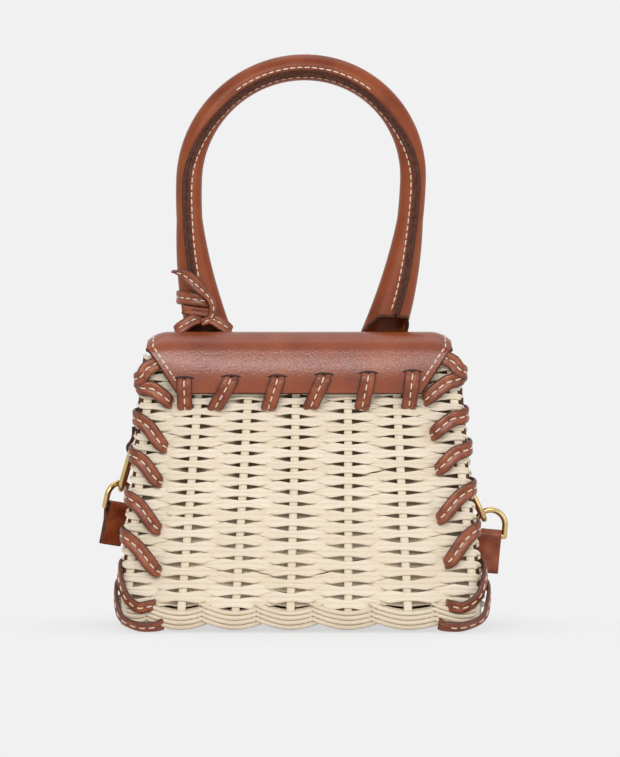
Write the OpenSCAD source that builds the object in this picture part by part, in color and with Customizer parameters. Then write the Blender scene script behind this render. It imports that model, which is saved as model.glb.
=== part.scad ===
// Small top-handle handbag: woven reed panels, leather gussets, laced flap, rolled handle.
// The back of the bag faces -Y, its front +Y, and it stands on z = 0.

/* [Basket] */
// Width of the woven panels along the ground
base_w = 154; // [140:1:170]
// Width of the woven panels along the rim
rim_w = 131; // [122:1:138]
// Height of the rim above the ground
rim_h = 115; // [106:1:124]
// Depth over both woven panels along the ground
base_depth = 70; // [64:1:80]
// Depth over both woven panels along the rim
rim_depth = 45; // [42:1:50]
// Thickness of a woven panel over its ridges
wicker_t = 7.5; // [6.5:0.5:8.5]
// Height of the woven floor's upper face
floor_top = 8; // [7:0.5:11]
// Height of the woven floor's underside
floor_bottom = 2.6; // [2:0.2:4]

/* [Weave] */
// Rows of weave between the border and the rim
weave_rows = 24; // [16:2:26]
// Strands in the border at the foot
border_rows = 3; // [2:1:4]
// Height of the border
border_h = 9.5; // [8:0.5:13]
// Rise of the scallops between the stakes
scallop_h = 2.4; // [1:0.2:3]
// Width of a stake
stake_w = 3.4; // [2.6:0.2:4]
// Reach of a gap on each side of its stake's axis
gap_reach = 8; // [6:0.5:8.5]

/* [Gussets] */
// Thickness of the gusset leather
gusset_t = 1.8; // [1.2:0.1:2.4]
// Depth of the inward fold at the top of the left gusset
left_fold = 4; // [2:0.5:6]
// Depth of the inward fold at the top of the right gusset
right_fold = 10; // [8:0.5:12]
// Dip of a gusset's top edge below the rim
gusset_dip = 6; // [3:0.5:9]

/* [Lining] */
// Thickness of the lining
lining_t = 0.8; // [0.6:0.1:1.4]
// Distance of the lining's ends from the ends of the panels
lining_inset = 13; // [12.5:0.5:16]
// Drop of the lining's top edge below the rim
lining_drop = 3; // [1:0.5:6]

/* [Flap] */
// Rise of the flap's top face over the rim
flap_rise = 10.4; // [9.6:0.2:14]
// Thickness of the flap leather
flap_t = 2.4; // [1.8:0.1:3]
// Outer radius of the flap's two bends
bend_r = 12; // [10:0.5:13]
// Width of the flap over the top
flap_w = 127; // [118:1:132]
// Taper of the back drop on each side
back_drop_taper = 13.5; // [9:0.5:16]
// Distance of the back drop's lower edge below the rim
back_drop = 15.4; // [13:0.2:18]
// Taper of the front drop on each side
front_drop_taper = 10.5; // [6:0.5:14]
// Distance of the front drop's lower edge below the rim
front_drop = 45; // [38:1:50]
// Corner radius of the front drop
front_corner_r = 12; // [6:1:18]
// Gap between the front drop and the front panel
front_gap = 4.4; // [4.2:0.1:5]

/* [Lacing] */
// Width of the thong
lace_w = 6.4; // [5:0.2:7]
// Thickness of the thong
lace_t = 1.6; // [1.2:0.1:2]
// Distance of the highest left side stitch below the rim
left_lace_drop = 13.5; // [12:0.5:17]
// Distance of the highest right side stitch below the rim
right_lace_drop = 11; // [9:0.5:15]
// Spacing of the side stitches
lace_pitch = 15.6; // [14:0.2:16]
// Reach of a side stitch across the panel
lace_reach = 12.5; // [10:0.5:13]
// Drop of a side stitch over its reach
lace_drop = 10.5; // [8:0.5:12]
// Height of the corner stitch
corner_lace_z = 12.5; // [12:0.1:13]
// Drop of the corner stitch over its reach
corner_lace_drop = 8; // [7.5:0.1:8.4]
// Distance of the outermost slots from the lower corners of the back drop
slot_margin = 2.5; // [2:0.1:6]
// Distance of the slots in the back drop below the rim
slot_drop = 8; // [6:0.5:10]
// Distance of the lower ends of the flap stitches below the rim
flap_lace_drop = 21.3; // [20:0.1:25]

/* [Handle] */
// Diameter of the rolled handle
handle_d = 11.1; // [9:0.1:13]
// Rise of the middle of the handle's bow over the flap
bow_rise = 65.45; // [46:0.05:80]
// Distance of the bow's middle line from the sides of the flap
bow_inset = 15.6; // [12:0.1:24]
// Radius of the inward sweep of the legs
leg_r = 205; // [180:1:320]
// Width of a flared foot
foot_w = 20; // [16:0.5:24]
// Depth of a flared foot
foot_d = 14; // [12.5:0.5:16]
// Height of a flared foot
foot_h = 48; // [36:1:54]
// Height of the knot's wrap over the foot of the leg
tie_rise = 14.2; // [13:0.1:18]
// Sideways lean of the handle, measured along the flap
handle_sway = 3.6; // [0:0.2:5]
// Sideways shift of the top of the bow
bow_shift = 1.5; // [0:0.1:3]

/* [Fittings] */
// Radius of the gold wire
wire_r = 1.25; // [1:0.05:1.4]
// Width of a D-ring between its legs
ring_w = 13.2; // [12.8:0.1:15]
// Height of a D-ring from its bar to its bow
ring_h = 18.5; // [17:0.5:20]
// Width of a link between its legs
link_w = 12.4; // [11.5:0.1:12.6]
// Length of a link's straight legs
link_leg = 4.6; // [3:0.1:5]
// Thickness of one ply of fitting leather
ply_t = 1.3; // [1:0.1:1.4]
// Length of a folded tab below its bar
tab_l = 16; // [12:0.5:18]
// Height of the chape above its ring's bar
chape_h = 9; // [7:0.5:11]
// Width of the chape
chape_w = 10; // [8:0.5:10.3]
// Height of the left ring's bar
left_ring_z = 76; // [72:0.5:80]
// Height of the right ring's bar
right_ring_z = 62; // [60:0.5:66]
// Diameter of a closing magnet
magnet_d = 14; // [10:0.5:18]
// Thickness of a closing magnet
magnet_t = 1.8; // [1.2:0.1:1.9]

/* [Hidden] */
$fn = 48;

// Gap between pieces that lie on each other
seat_gap = 0.2;
// Running gap round a wire
wire_gap = 0.15;
// Overrun of a cut
overrun = 1;
reed_colour = [0.93, 0.86, 0.77];
leather_colour = [0.57, 0.31, 0.19];
gold_colour = [0.79, 0.69, 0.47];
lining_colour = [0.35, 0.25, 0.18];

// Widths and depths of the tapered basket at height z
width_fall = (base_w - rim_w) / 2 / rim_h;
depth_fall = (base_depth - rim_depth) / 2 / rim_h;
lean = atan(depth_fall);
lean_m = sqrt(1 + depth_fall * depth_fall);
function half_w(z) = base_w / 2 - width_fall * z;
function half_d(z) = base_depth / 2 - depth_fall * z;
function unit(v) = v / norm(v);

// Weave. Columns hold a share of the half width, an offset, a stake number and a kind
stake_shares = [-0.67, -0.36, -0.06, 0.26, 0.58];
edge_stake_share = 0.94;
bulge_share = 0.16;
ridge_share = 0.55;
border_groove_share = 0.6;
border_ridge_share = 0.15;
reed_t = (wicker_t - stake_w) / 2;
columns = concat([[-1, 0, 0, "end"], [-edge_stake_share, 0, 0, "edge"]],
  [for (k = [0 : len(stake_shares) - 1], o = [-gap_reach, -stake_w / 2, stake_w / 2, gap_reach])
    [stake_shares[k], o, k + 1, abs(o) == gap_reach ? "tip" : "side"]],
  [[edge_stake_share, 0, len(stake_shares) + 1, "edge"], [1, 0, 0, "end"]]);
n_col = len(columns);
n_row = border_rows + weave_rows;
row_pitch = (rim_h - border_h) / weave_rows;
function kind(c) = columns[c][3];
function by_stake(c) = kind(c) == "side" || kind(c) == "edge";
// A strand passes in front of every other stake
function in_front(c, r) = (r - border_rows + columns[c][2]) % 2 == 0;
function is_gap(c, r) = r >= border_rows && r < n_row - 1 && !in_front(c, r);
function edge_z(c, j) = j < border_rows
  ? border_h * j / border_rows + (by_stake(c) ? 0 : scallop_h) * (1 - j / border_rows)
  : border_h + row_pitch * (j - border_rows)
    + (by_stake(c) && j > border_rows && j < n_row
      ? (in_front(c, j) ? -1 : 1) * bulge_share * row_pitch : 0);
function middle_z(c, r) = (edge_z(c, r) + edge_z(c, r + 1)) / 2;
function edge_depth(c, j) = j < border_rows ? border_groove_share * reed_t
  : by_stake(c) ? reed_t : wicker_t / 2;
function middle_depth(c, r) = r < border_rows ? border_ridge_share * reed_t
  : by_stake(c) && in_front(c, r) ? 0 : wicker_t / 2 - ridge_share * reed_t;
function weave_point(c, z, depth) = [columns[c][0] * half_w(z) + columns[c][1], depth - half_d(z), z];

edge_n = n_col * (n_row + 1);
function edge_i(c, j) = c * (n_row + 1) + j;
function middle_i(c, r) = edge_n + c * n_row + r;
function inner_i(c, j) = edge_n + n_col * n_row + c * (n_row + 1) + j;
weave_points = concat(
  [for (c = [0 : n_col - 1], j = [0 : n_row]) weave_point(c, edge_z(c, j), edge_depth(c, j))],
  [for (c = [0 : n_col - 1], r = [0 : n_row - 1]) weave_point(c, middle_z(c, r), middle_depth(c, r))],
  [for (c = [0 : n_col - 1], j = [0 : n_row]) weave_point(c, edge_z(c, j), wicker_t)]);

function quad(a, b, c, d) = [[a, b, c], [a, c, d]];
// Triangles between two rising lists of vertices, whose heights decide which list steps on
function zip_up(a, ha, b, hb, i = 0, k = 0) =
  i == len(a) - 1 && k == len(b) - 1 ? []
  : k == len(b) - 1 || (i < len(a) - 1 && ha[i + 1] <= hb[k + 1])
    ? concat([[a[i], b[k], a[i + 1]]], zip_up(a, ha, b, hb, i + 1, k))
    : concat([[a[i], b[k], b[k + 1]]], zip_up(a, ha, b, hb, i, k + 1));
function zip_inner(c, ja, d, jb) =
  zip_up([for (j = ja) inner_i(c, j)], ja, [for (j = jb) inner_i(d, j)], jb);

function gap_rows(c) = [for (r = [border_rows : n_row - 1]) if (is_gap(c, r)) r];
function heights(c) = kind(c) == "tip" ? unique([0, each gap_rows(c), n_row])
  : kind(c) == "side" ? unique([0, each [for (r = gap_rows(c)) each [r, r + 1]], n_row])
  : [0, n_row];
function unique(list) = [for (i = [0 : len(list) - 1]) if (i == 0 || list[i] != list[i - 1]) list[i]];

// Front of one cell: a bare stake, the rest of a strand beside a gap, or a whole ridge
function cell(c, r) =
  kind(c) == "side" && kind(c + 1) == "side" && is_gap(c, r)
    ? quad(edge_i(c, r), edge_i(c, r + 1), edge_i(c + 1, r + 1), edge_i(c + 1, r))
  : kind(c) == "tip" && kind(c + 1) == "side" && is_gap(c, r)
    ? concat([[edge_i(c, r), middle_i(c, r), edge_i(c + 1, r + 1)],
        [middle_i(c, r), edge_i(c, r + 1), edge_i(c + 1, r + 1)]],
      gap_walls([[c, r], [c + 1, r + 1], [c + 1, r]]))
  : kind(c) == "side" && kind(c + 1) == "tip" && is_gap(c, r)
    ? concat([[edge_i(c + 1, r), edge_i(c, r + 1), middle_i(c + 1, r)],
        [middle_i(c + 1, r), edge_i(c, r + 1), edge_i(c + 1, r + 1)]],
      gap_walls([[c + 1, r], [c, r], [c, r + 1]]))
  : concat(quad(edge_i(c, r), middle_i(c, r), middle_i(c + 1, r), edge_i(c + 1, r)),
      quad(middle_i(c, r), edge_i(c, r + 1), edge_i(c + 1, r + 1), middle_i(c + 1, r)));
function gap_walls(loop) = [for (i = [0 : len(loop) - 1])
  let (p = loop[i], q = loop[(i + 1) % len(loop)])
  each quad(edge_i(p[0], p[1]), edge_i(q[0], q[1]), inner_i(q[0], q[1]), inner_i(p[0], p[1]))];

// Back of one strip between two columns, left open where the gaps come through
function strip(c) = let (left_tip = kind(c) == "tip", gaps = gap_rows(c), n = len(gaps))
  (left_tip && kind(c + 1) == "side") || (kind(c) == "side" && kind(c + 1) == "tip")
  ? [for (i = [0 : n]) let (low = i == 0 ? 0 : gaps[i - 1], high = i == n ? n_row : gaps[i],
        by_tip = unique([low, high]), by_side = unique([i == 0 ? 0 : low + 1, high]))
      each zip_inner(c, left_tip ? by_tip : by_side, c + 1, left_tip ? by_side : by_tip)]
  : zip_inner(c, heights(c), c + 1, heights(c + 1));

// End of the panel, between its ridged edge and its flat back
end_heights = [for (j = [0 : n_row], half = [0, 0.5]) if (j < n_row || half == 0) j + half];
function end_list(c) = [for (j = [0 : n_row], half = [0, 1]) if (j < n_row || half == 0)
  half == 0 ? edge_i(c, j) : middle_i(c, j)];
function end_back(c) = [inner_i(c, 0), inner_i(c, n_row)];
weave_faces = concat(
  [for (c = [0 : n_col - 2], r = [0 : n_row - 1]) each cell(c, r)],
  [for (c = [0 : n_col - 2]) each strip(c)],
  [for (c = [0 : n_col - 2]) each concat(
    quad(edge_i(c, 0), edge_i(c + 1, 0), inner_i(c + 1, 0), inner_i(c, 0)),
    quad(edge_i(c + 1, n_row), edge_i(c, n_row), inner_i(c, n_row), inner_i(c + 1, n_row)))],
  zip_up(end_list(0), end_heights, end_back(0), [0, n_row]),
  zip_up(end_back(n_col - 1), [0, n_row], end_list(n_col - 1), end_heights));

module woven_panel() {
  color(reed_colour) polyhedron(points = weave_points, faces = weave_faces);
}
module back_panel() { woven_panel(); }
module front_panel() { mirror([0, 1, 0]) woven_panel(); }

// Woven floor between the two panels
floor_half_d = half_d(floor_top) - wicker_t - seat_gap;
floor_half_w = half_w(floor_top) - seat_gap;
module base_panel() {
  color(reed_colour) translate([-floor_half_w, -floor_half_d, floor_bottom])
    cube([2 * floor_half_w, 2 * floor_half_d, floor_top - floor_bottom]);
}

// Gusset: a leather wall on the ends of the panels, folded inwards towards its top
gusset_bottom = 3;
gusset_inset = 0.4;
fold_bend_share = 0.6;
fold_level_shares = [0, 0.15, 0.4, 0.7, 1];
fold_across_shares = [1, 0.75, 0.5, 0.25, 0, -0.25, -0.5, -0.75, -1];
function gusset_edge(z) = half_w(z) + seat_gap + gusset_t;
function fold_reach(z) = half_d(z) - wicker_t - gusset_inset;
function fold_at(z, y, fold) = z <= floor_top || abs(y) >= fold_reach(z) ? 0
  : fold * pow((z - floor_top) / (rim_h - floor_top), fold_bend_share)
    * pow(1 - pow(y / fold_reach(z), 2), 2);
function gusset_x(z, y, fold) = gusset_edge(z) - fold_at(z, y, fold);
function gusset_top(share) = rim_h - seat_gap - gusset_dip * (1 - share * share);
function gusset_point(level, across, fold, back) =
  let (share = across == 0 ? 1 : across == len(fold_across_shares) + 1 ? -1
      : fold_across_shares[across - 1],
    z = level == 0 ? gusset_bottom
      : floor_top + (gusset_top(share) - floor_top) * fold_level_shares[level - 1],
    outside = across == 0 || across == len(fold_across_shares) + 1,
    y = share * (outside ? half_d(z) - gusset_inset : fold_reach(z)))
  [gusset_x(z, y, fold) - back, y, z];
gusset_across = len(fold_across_shares) + 2;
gusset_levels = len(fold_level_shares) + 1;
function sheet_i(level, across, back) = (back * gusset_levels + level) * gusset_across + across;
module gusset(fold) {
  last_l = gusset_levels - 1;
  last_a = gusset_across - 1;
  points = [for (back = [0, gusset_t], l = [0 : last_l], a = [0 : last_a]) gusset_point(l, a, fold, back)];
  faces = concat(
    [for (l = [0 : last_l - 1], a = [0 : last_a - 1]) each concat(
      quad(sheet_i(l, a, 0), sheet_i(l, a + 1, 0), sheet_i(l + 1, a + 1, 0), sheet_i(l + 1, a, 0)),
      quad(sheet_i(l + 1, a, 1), sheet_i(l + 1, a + 1, 1), sheet_i(l, a + 1, 1), sheet_i(l, a, 1)))],
    [for (a = [0 : last_a - 1]) each concat(
      quad(sheet_i(0, a + 1, 0), sheet_i(0, a, 0), sheet_i(0, a, 1), sheet_i(0, a + 1, 1)),
      quad(sheet_i(last_l, a, 0), sheet_i(last_l, a + 1, 0), sheet_i(last_l, a + 1, 1), sheet_i(last_l, a, 1)))],
    [for (l = [0 : last_l - 1]) each concat(
      quad(sheet_i(l, 0, 0), sheet_i(l + 1, 0, 0), sheet_i(l + 1, 0, 1), sheet_i(l, 0, 1)),
      quad(sheet_i(l + 1, last_a, 0), sheet_i(l, last_a, 0), sheet_i(l, last_a, 1), sheet_i(l + 1, last_a, 1)))]);
  color(leather_colour) polyhedron(points = points, faces = faces);
}
module left_gusset() { mirror([1, 0, 0]) gusset(left_fold); }
module right_gusset() { gusset(right_fold); }

// Lining: an open bag between the panels, standing on the floor
lining_bottom = floor_top + seat_gap;
lining_top = rim_h - lining_drop;
// A block that tapers with the basket, inset from the panels' ends and faces
module tapered_block(inset_x, inset_y, low, high) {
  intersection() {
    rotate([90, 0, 0])
      linear_extrude(height = base_depth, center = true)
        polygon([[half_w(low) - inset_x, low], [half_w(high) - inset_x, high],
          [inset_x - half_w(high), high], [inset_x - half_w(low), low]]);
    rotate([90, 0, 90])
      linear_extrude(height = base_w, center = true)
        polygon([[half_d(low) - inset_y, low], [half_d(high) - inset_y, high],
          [inset_y - half_d(high), high], [inset_y - half_d(low), low]]);
  }
}
module lining() {
  face_inset = wicker_t + seat_gap;
  color(lining_colour) difference() {
    tapered_block(lining_inset, face_inset, lining_bottom, lining_top);
    tapered_block(lining_inset + lining_t, face_inset + lining_t, lining_bottom + lining_t, lining_top + overrun);
  }
}

// Flap. Its section in Y and Z runs up the back, over two bends and down the front
flap_top = rim_h + flap_rise;
back_drop_z = rim_h - back_drop;
back_drop_w = flap_w - 2 * back_drop_taper;
front_drop_z = rim_h - front_drop;
front_drop_w = flap_w - 2 * front_drop_taper;
slot_z = rim_h - slot_drop;
flap_lace_end_z = rim_h - flap_lace_drop;
flap_gap = 0.3;
hinge_gap = 0.2;
bend_steps = 8;
hinge_angle = 135;
bend_z = flap_top - bend_r;
back_bend_y = -half_d(bend_z) + lean_m * (bend_r - flap_gap - flap_t);
front_bend_y = half_d(bend_z) - lean_m * (bend_r - front_gap - flap_t);
hinge_y = back_bend_y + bend_r * cos(hinge_angle);
hinge_z = bend_z + bend_r * sin(hinge_angle);
hinge_turn = asin(hinge_gap / bend_r);
// Points of a bend between two angles
function bend(y, r, from, to) = [for (i = [0 : bend_steps])
  let (a = from + (to - from) * i / bend_steps) [y + r * cos(a), bend_z + r * sin(a)]];
function back_line(z, offset) = [-half_d(z) - offset * lean_m, z];
function front_line(z, offset) = [half_d(z) + offset * lean_m, z];
back_outer = flap_gap + flap_t;
front_outer = front_gap + flap_t;
back_section = concat([back_line(back_drop_z, back_outer)],
  bend(back_bend_y, bend_r, 180 - lean, hinge_angle),
  bend(back_bend_y, bend_r - flap_t, hinge_angle, 180 - lean),
  [back_line(back_drop_z, flap_gap)]);
lid_section = concat(bend(back_bend_y, bend_r, hinge_angle - hinge_turn, 90),
  bend(front_bend_y, bend_r, 90, lean),
  [front_line(front_drop_z, front_outer), front_line(front_drop_z, front_gap)],
  bend(front_bend_y, bend_r - flap_t, lean, 90),
  bend(back_bend_y, bend_r - flap_t, 90, hinge_angle - hinge_turn));
module section_bar(section) {
  rotate([90, 0, 90]) linear_extrude(height = flap_w, center = true) polygon(section);
}
module outline_bar(outline) {
  rotate([90, 0, 0]) linear_extrude(height = 2 * base_depth, center = true) polygon(outline);
}
// Rounded lower corner of the front drop on the side given by its sign
function drop_corner(side) = [for (i = [0 : bend_steps])
  let (a = -90 * i / bend_steps, r = front_corner_r)
  [side * (front_drop_w / 2 - r + r * cos(a)), front_drop_z + r + r * sin(a)]];
function reversed(list) = [for (i = [len(list) - 1 : -1 : 0]) list[i]];
back_outline = [[-flap_w / 2, flap_top + overrun], [-flap_w / 2, bend_z + bend_r / 2],
  [-back_drop_w / 2, back_drop_z - overrun], [back_drop_w / 2, back_drop_z - overrun],
  [flap_w / 2, bend_z + bend_r / 2], [flap_w / 2, flap_top + overrun]];
lid_outline = concat([[flap_w / 2, flap_top + overrun], [flap_w / 2, bend_z]],
  drop_corner(1), reversed(drop_corner(-1)),
  [[-flap_w / 2, bend_z], [-flap_w / 2, flap_top + overrun]]);
flap_lace_count = 6;
flap_lace_shift = -2.3;
flap_lace_pitch = (back_drop_w - 2 * slot_margin) / (flap_lace_count - 1);
slot_h = 2.2;
function flap_lace_x(i) = flap_lace_shift + (i - (flap_lace_count - 1) / 2) * flap_lace_pitch;
module flap_back() {
  color(leather_colour) difference() {
    intersection() {
      section_bar(back_section);
      outline_bar(back_outline);
    }
    for (i = [0 : flap_lace_count - 1])
      translate([flap_lace_x(i) - lace_w / 2, -base_depth / 2, slot_z])
        cube([lace_w, base_depth / 2, slot_h]);
  }
}
module flap() {
  color(leather_colour) intersection() {
    section_bar(lid_section);
    outline_bar(lid_outline);
  }
}

// Thong stitches. Each is a flat band through stations of a centre and an outward direction
function station_tangent(s, i) = unit(s[min(i + 1, len(s) - 1)][0] - s[max(i - 1, 0)][0]);
function band_ring(s, i, w, t) =
  let (c = s[i][0], n = s[i][1], across = unit(cross(station_tangent(s, i), n)) * w / 2, up = n * t / 2)
  [c + across + up, c - across + up, c - across - up, c + across - up];
// A closed skin over rings of points that all have the same number of sides
module skin(rings) {
  n = len(rings);
  sides = len(rings[0]);
  polyhedron(points = [for (r = rings) each r],
    faces = concat([[for (k = [sides - 1 : -1 : 0]) k]],
      [for (i = [0 : n - 2], k = [0 : sides - 1]) let (m = (k + 1) % sides)
        each quad(i * sides + k, i * sides + m, (i + 1) * sides + m, (i + 1) * sides + k)],
      [[for (k = [0 : sides - 1]) (n - 1) * sides + k]]));
}
module band(stations, w, t) {
  skin([for (i = [0 : len(stations) - 1]) band_ring(stations, i, w, t)]);
}
back_normal = unit([0, -1, depth_fall]);
side_normal = unit([1, 0, width_fall]);
lace_off = seat_gap + lace_t / 2;
lace_tuck = 5;
lace_round = 1.6;
face_steps = 4;
// One side stitch, from the gusset round the panel's edge and down across the reed
function side_stitch(z, drop) = let (x = gusset_edge(z), y = -half_d(z)) concat(
  [[[x, y + lace_tuck, z] + side_normal * lace_off, side_normal],
   [[x, y + lace_round, z] + side_normal * lace_off, side_normal],
   [[x, y, z] + (side_normal + back_normal) * lace_off * cos(45), unit(side_normal + back_normal)]],
  [for (i = [0 : face_steps]) let (share = i / face_steps, zi = z - drop * share,
      reach = lace_round + (lace_reach - lace_round) * share)
    [[gusset_edge(zi) - reach, -half_d(zi), zi] + back_normal * lace_off, back_normal]]);
side_lace_count = 6;
module side_lacing(top_z) {
  color(leather_colour) {
    for (i = [0 : side_lace_count - 1])
      band(side_stitch(top_z - i * lace_pitch, lace_drop), lace_w, lace_t);
    band(side_stitch(corner_lace_z, corner_lace_drop), lace_w, lace_t);
  }
}
left_lace_z = rim_h - left_lace_drop;
right_lace_z = rim_h - right_lace_drop;
module back_left_lacing() { mirror([1, 0, 0]) side_lacing(left_lace_z); }
module back_right_lacing() { side_lacing(right_lace_z); }
module front_left_lacing() { mirror([0, 1, 0]) mirror([1, 0, 0]) side_lacing(left_lace_z); }
module front_right_lacing() { mirror([0, 1, 0]) side_lacing(right_lace_z); }
// One flap stitch, from its slot over the drop's edge on to the reed
flap_lace_lean = 7.5;
flap_lace_lean_shares = [0.05, 1, 0.55, 0.8, 0.4, 0.2];
flap_edge_step = 0.8;
function flap_stitch(i) = [for (p = [[slot_z, back_outer], [back_drop_z - flap_edge_step, back_outer],
    [flap_lace_end_z, 0]])
  [[flap_lace_x(i) - flap_lace_lean * flap_lace_lean_shares[i] * (slot_z - p[0]) / (slot_z - flap_lace_end_z),
      -half_d(p[0]), p[0]] + back_normal * (p[1] + lace_off), back_normal]];
module flap_lacing() {
  color(leather_colour) for (i = [0 : flap_lace_count - 1]) band(flap_stitch(i), lace_w, lace_t);
}

// Handle: a rolled tube that sweeps round the bow and flares into two feet on the flap
handle_y = 0;
handle_sides = 16;
bow_steps = 14;
leg_steps = 3;
foot_steps = 6;
foot_bottom = flap_top + seat_gap;
bow_z = flap_top + bow_rise;
bow_r = flap_w / 2 - bow_inset;
function leg_angle(z) = asin((bow_z - z) / leg_r);
function leg_x(z) = bow_r - leg_r * (1 - cos(leg_angle(z)));
function flare(z) = max(0, 1 - (z - foot_bottom) / foot_h);
function sway(z) = bow_shift - handle_sway * (bow_z + bow_r - z) / (bow_z + bow_r - foot_bottom);
// Ring of the tube round a centre, with its outward angle and its half sizes
function tube_ring(x, z, out, a, b) = [for (k = [0 : handle_sides - 1])
  let (turn = 360 * k / handle_sides)
  [x + sway(z) + a * cos(turn) * cos(out), handle_y + b * sin(turn), z + a * cos(turn) * sin(out)]];
function leg_half_w(z) = handle_d / 2 + (foot_w - handle_d) / 2 * flare(z);
function leg_half_d(z) = handle_d / 2 + (foot_d - handle_d) / 2 * flare(z);
function leg_ring(z, side) = let (down = leg_angle(z) * (1 - flare(z)))
  tube_ring(side * leg_x(z), z, side > 0 ? -down : 180 + down, leg_half_w(z), leg_half_d(z));
leg_heights = concat([for (i = [0 : foot_steps]) foot_bottom + foot_h * i / foot_steps],
  [for (i = [1 : leg_steps - 1]) foot_bottom + foot_h + (bow_z - foot_bottom - foot_h) * i / leg_steps]);
handle_rings = concat([for (z = leg_heights) leg_ring(z, -1)],
  [for (i = [0 : bow_steps]) let (a = 180 - 180 * i / bow_steps)
    tube_ring(bow_r * cos(a), bow_z + bow_r * sin(a), a, handle_d / 2, handle_d / 2)],
  [for (i = [len(leg_heights) - 1 : -1 : 0]) leg_ring(leg_heights[i], 1)]);
module handle() { color(leather_colour) skin(handle_rings); }

// Knotted thong round the left foot: a wrapped ring, a tail up the leg, a loop and two ends on the flap
tie_w = 6;
tie_t = 1.6;
tie_z = foot_bottom + tie_rise;
wrap_half_w = leg_half_w(tie_z - tie_w / 2) + seat_gap + tie_t / 2;
wrap_half_d = leg_half_d(tie_z - tie_w / 2) + seat_gap + tie_t / 2;
wrap_steps = 20;
wrap_start = -75;
wrap_turn = 330;
// The wrap goes round the leg from one side of the knot to the other
function wrap_station(i) = let (a = wrap_start + wrap_turn * i / wrap_steps)
  [[wrap_half_w * cos(a), wrap_half_d * sin(a), 0], unit([cos(a) / wrap_half_w, sin(a) / wrap_half_d, 0])];
tie_lean = leg_angle(tie_z) - atan(handle_sway / (bow_z + bow_r - foot_bottom));
// Paths of the thong's ends from the middle of the ring, as shares of the handle's diameter
tail_path_shares = [[0.3, -0.7, 0.05], [-0.25, -0.74, 0.4], [-0.7, -0.72, 0.75], [-1.05, -0.62, 1.15]];
loop_path_shares = [[0.05, -0.7, 0.2], [0.45, -0.8, -0.1], [0.55, -0.8, -0.5], [0.35, -0.82, -0.85]];
left_end_path_shares = [[0, -0.68, -0.1], [-0.4, -0.78, -0.55], [-0.75, -0.8, -0.85], [-1.15, -0.8, -1]];
right_end_path_shares = [[-0.1, -0.68, 0], [0.3, -0.86, -0.5], [0.75, -0.88, -0.85], [1.2, -0.8, -1]];
tie_paths = [tail_path_shares, loop_path_shares, left_end_path_shares, right_end_path_shares];
tie_out = [0, -1, 0];
module handle_tie() {
  color(leather_colour) translate([sway(tie_z) - leg_x(tie_z), handle_y, tie_z]) {
    rotate([0, -tie_lean, 0]) band([for (i = [0 : wrap_steps]) wrap_station(i)], tie_w, tie_t);
    for (path = tie_paths) band([for (p = path) [p * handle_d, tie_out]], lace_w, tie_t);
  }
}

// Closing magnets on the front panel and inside the front drop
magnet_z = front_drop_z + front_corner_r;
module on_front(offset) {
  mirror([0, 1, 0]) translate([0, -half_d(magnet_z), magnet_z]) rotate([90 - lean, 0, 0])
    translate([0, 0, offset]) children();
}
module magnet_lower() { color("silver") on_front(seat_gap) cylinder(d = magnet_d, h = magnet_t); }
module magnet_upper() {
  color("silver") on_front(front_gap - seat_gap - magnet_t) cylinder(d = magnet_d, h = magnet_t);
}

// Side fittings, described for the right side: loop, D-ring, link and tab
loop_r = wire_r + wire_gap + ply_t;
hook_gap = 0.25;
hook = link_w / 2 - 2 * wire_r - hook_gap;
// Angles of the hanging pieces, measured from the slope of the side
side_slope = atan(width_fall);
ring_tilts = [10.4 + side_slope, 20.3 + side_slope];
hook_angles = [side_slope - 83.7, side_slope - 45];
link_turns = [-6.3 - side_slope, 10.7 - side_slope];
link_twists = [-38, 0];
tab_turns = [-2, 0];
ring_zs = [left_ring_z, right_ring_z];
folds = [left_fold, right_fold];
function ring_x(s) = gusset_x(ring_zs[s] - loop_r, chape_w / 2, folds[s]) + seat_gap + loop_r;
function bow_at(s) = [ring_x(s) + ring_h * sin(ring_tilts[s]), 0, ring_zs[s] - ring_h * cos(ring_tilts[s])];
function link_at(s) = bow_at(s) + hook * [cos(hook_angles[s]), 0, sin(hook_angles[s])];
function bar_at(s) = link_at(s) - link_leg * [sin(link_turns[s]), 0, cos(link_turns[s])];
tab_w = link_w - 2 * wire_r - 2 * seat_gap;
module on_side(s) { mirror([1 - s, 0, 0]) children(); }
module wire(l) { cylinder(r = wire_r, h = l, center = true); }
module half_bow(w) {
  rotate([90, 0, 0]) rotate_extrude(angle = 180) translate([w / 2, 0]) circle(r = wire_r);
}
// A bowed ring: half circle above, legs of length leg below, closed by a straight bar
module bowed_ring(w, leg) {
  half_bow(w);
  for (x = [-w / 2, w / 2]) {
    translate([x, 0, -leg / 2]) wire(leg);
    translate([x, 0, -leg]) sphere(r = wire_r);
  }
  translate([0, 0, -leg]) rotate([0, 90, 0]) wire(w);
}
module chape(s) {
  color(leather_colour) on_side(s) translate([ring_x(s), 0, ring_zs[s]]) difference() {
    union() {
      rotate([90, 0, 0]) cylinder(r = loop_r, h = chape_w, center = true);
      translate([-loop_r, -chape_w / 2, 0]) cube([2 * ply_t, chape_w, chape_h]);
    }
    rotate([90, 0, 0]) cylinder(r = wire_r + wire_gap, h = chape_w + overrun, center = true);
  }
}
module ring(s) {
  color(gold_colour) on_side(s) translate([ring_x(s), 0, ring_zs[s]]) rotate([0, 180 - ring_tilts[s], 0])
    rotate([0, 0, 90]) translate([0, 0, ring_h - ring_w / 2]) bowed_ring(ring_w, ring_h - ring_w / 2);
}
module link(s) {
  color(gold_colour) on_side(s) translate(link_at(s)) rotate([0, link_turns[s], 0])
    rotate([0, 0, link_twists[s]]) bowed_ring(link_w, link_leg);
}
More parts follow.
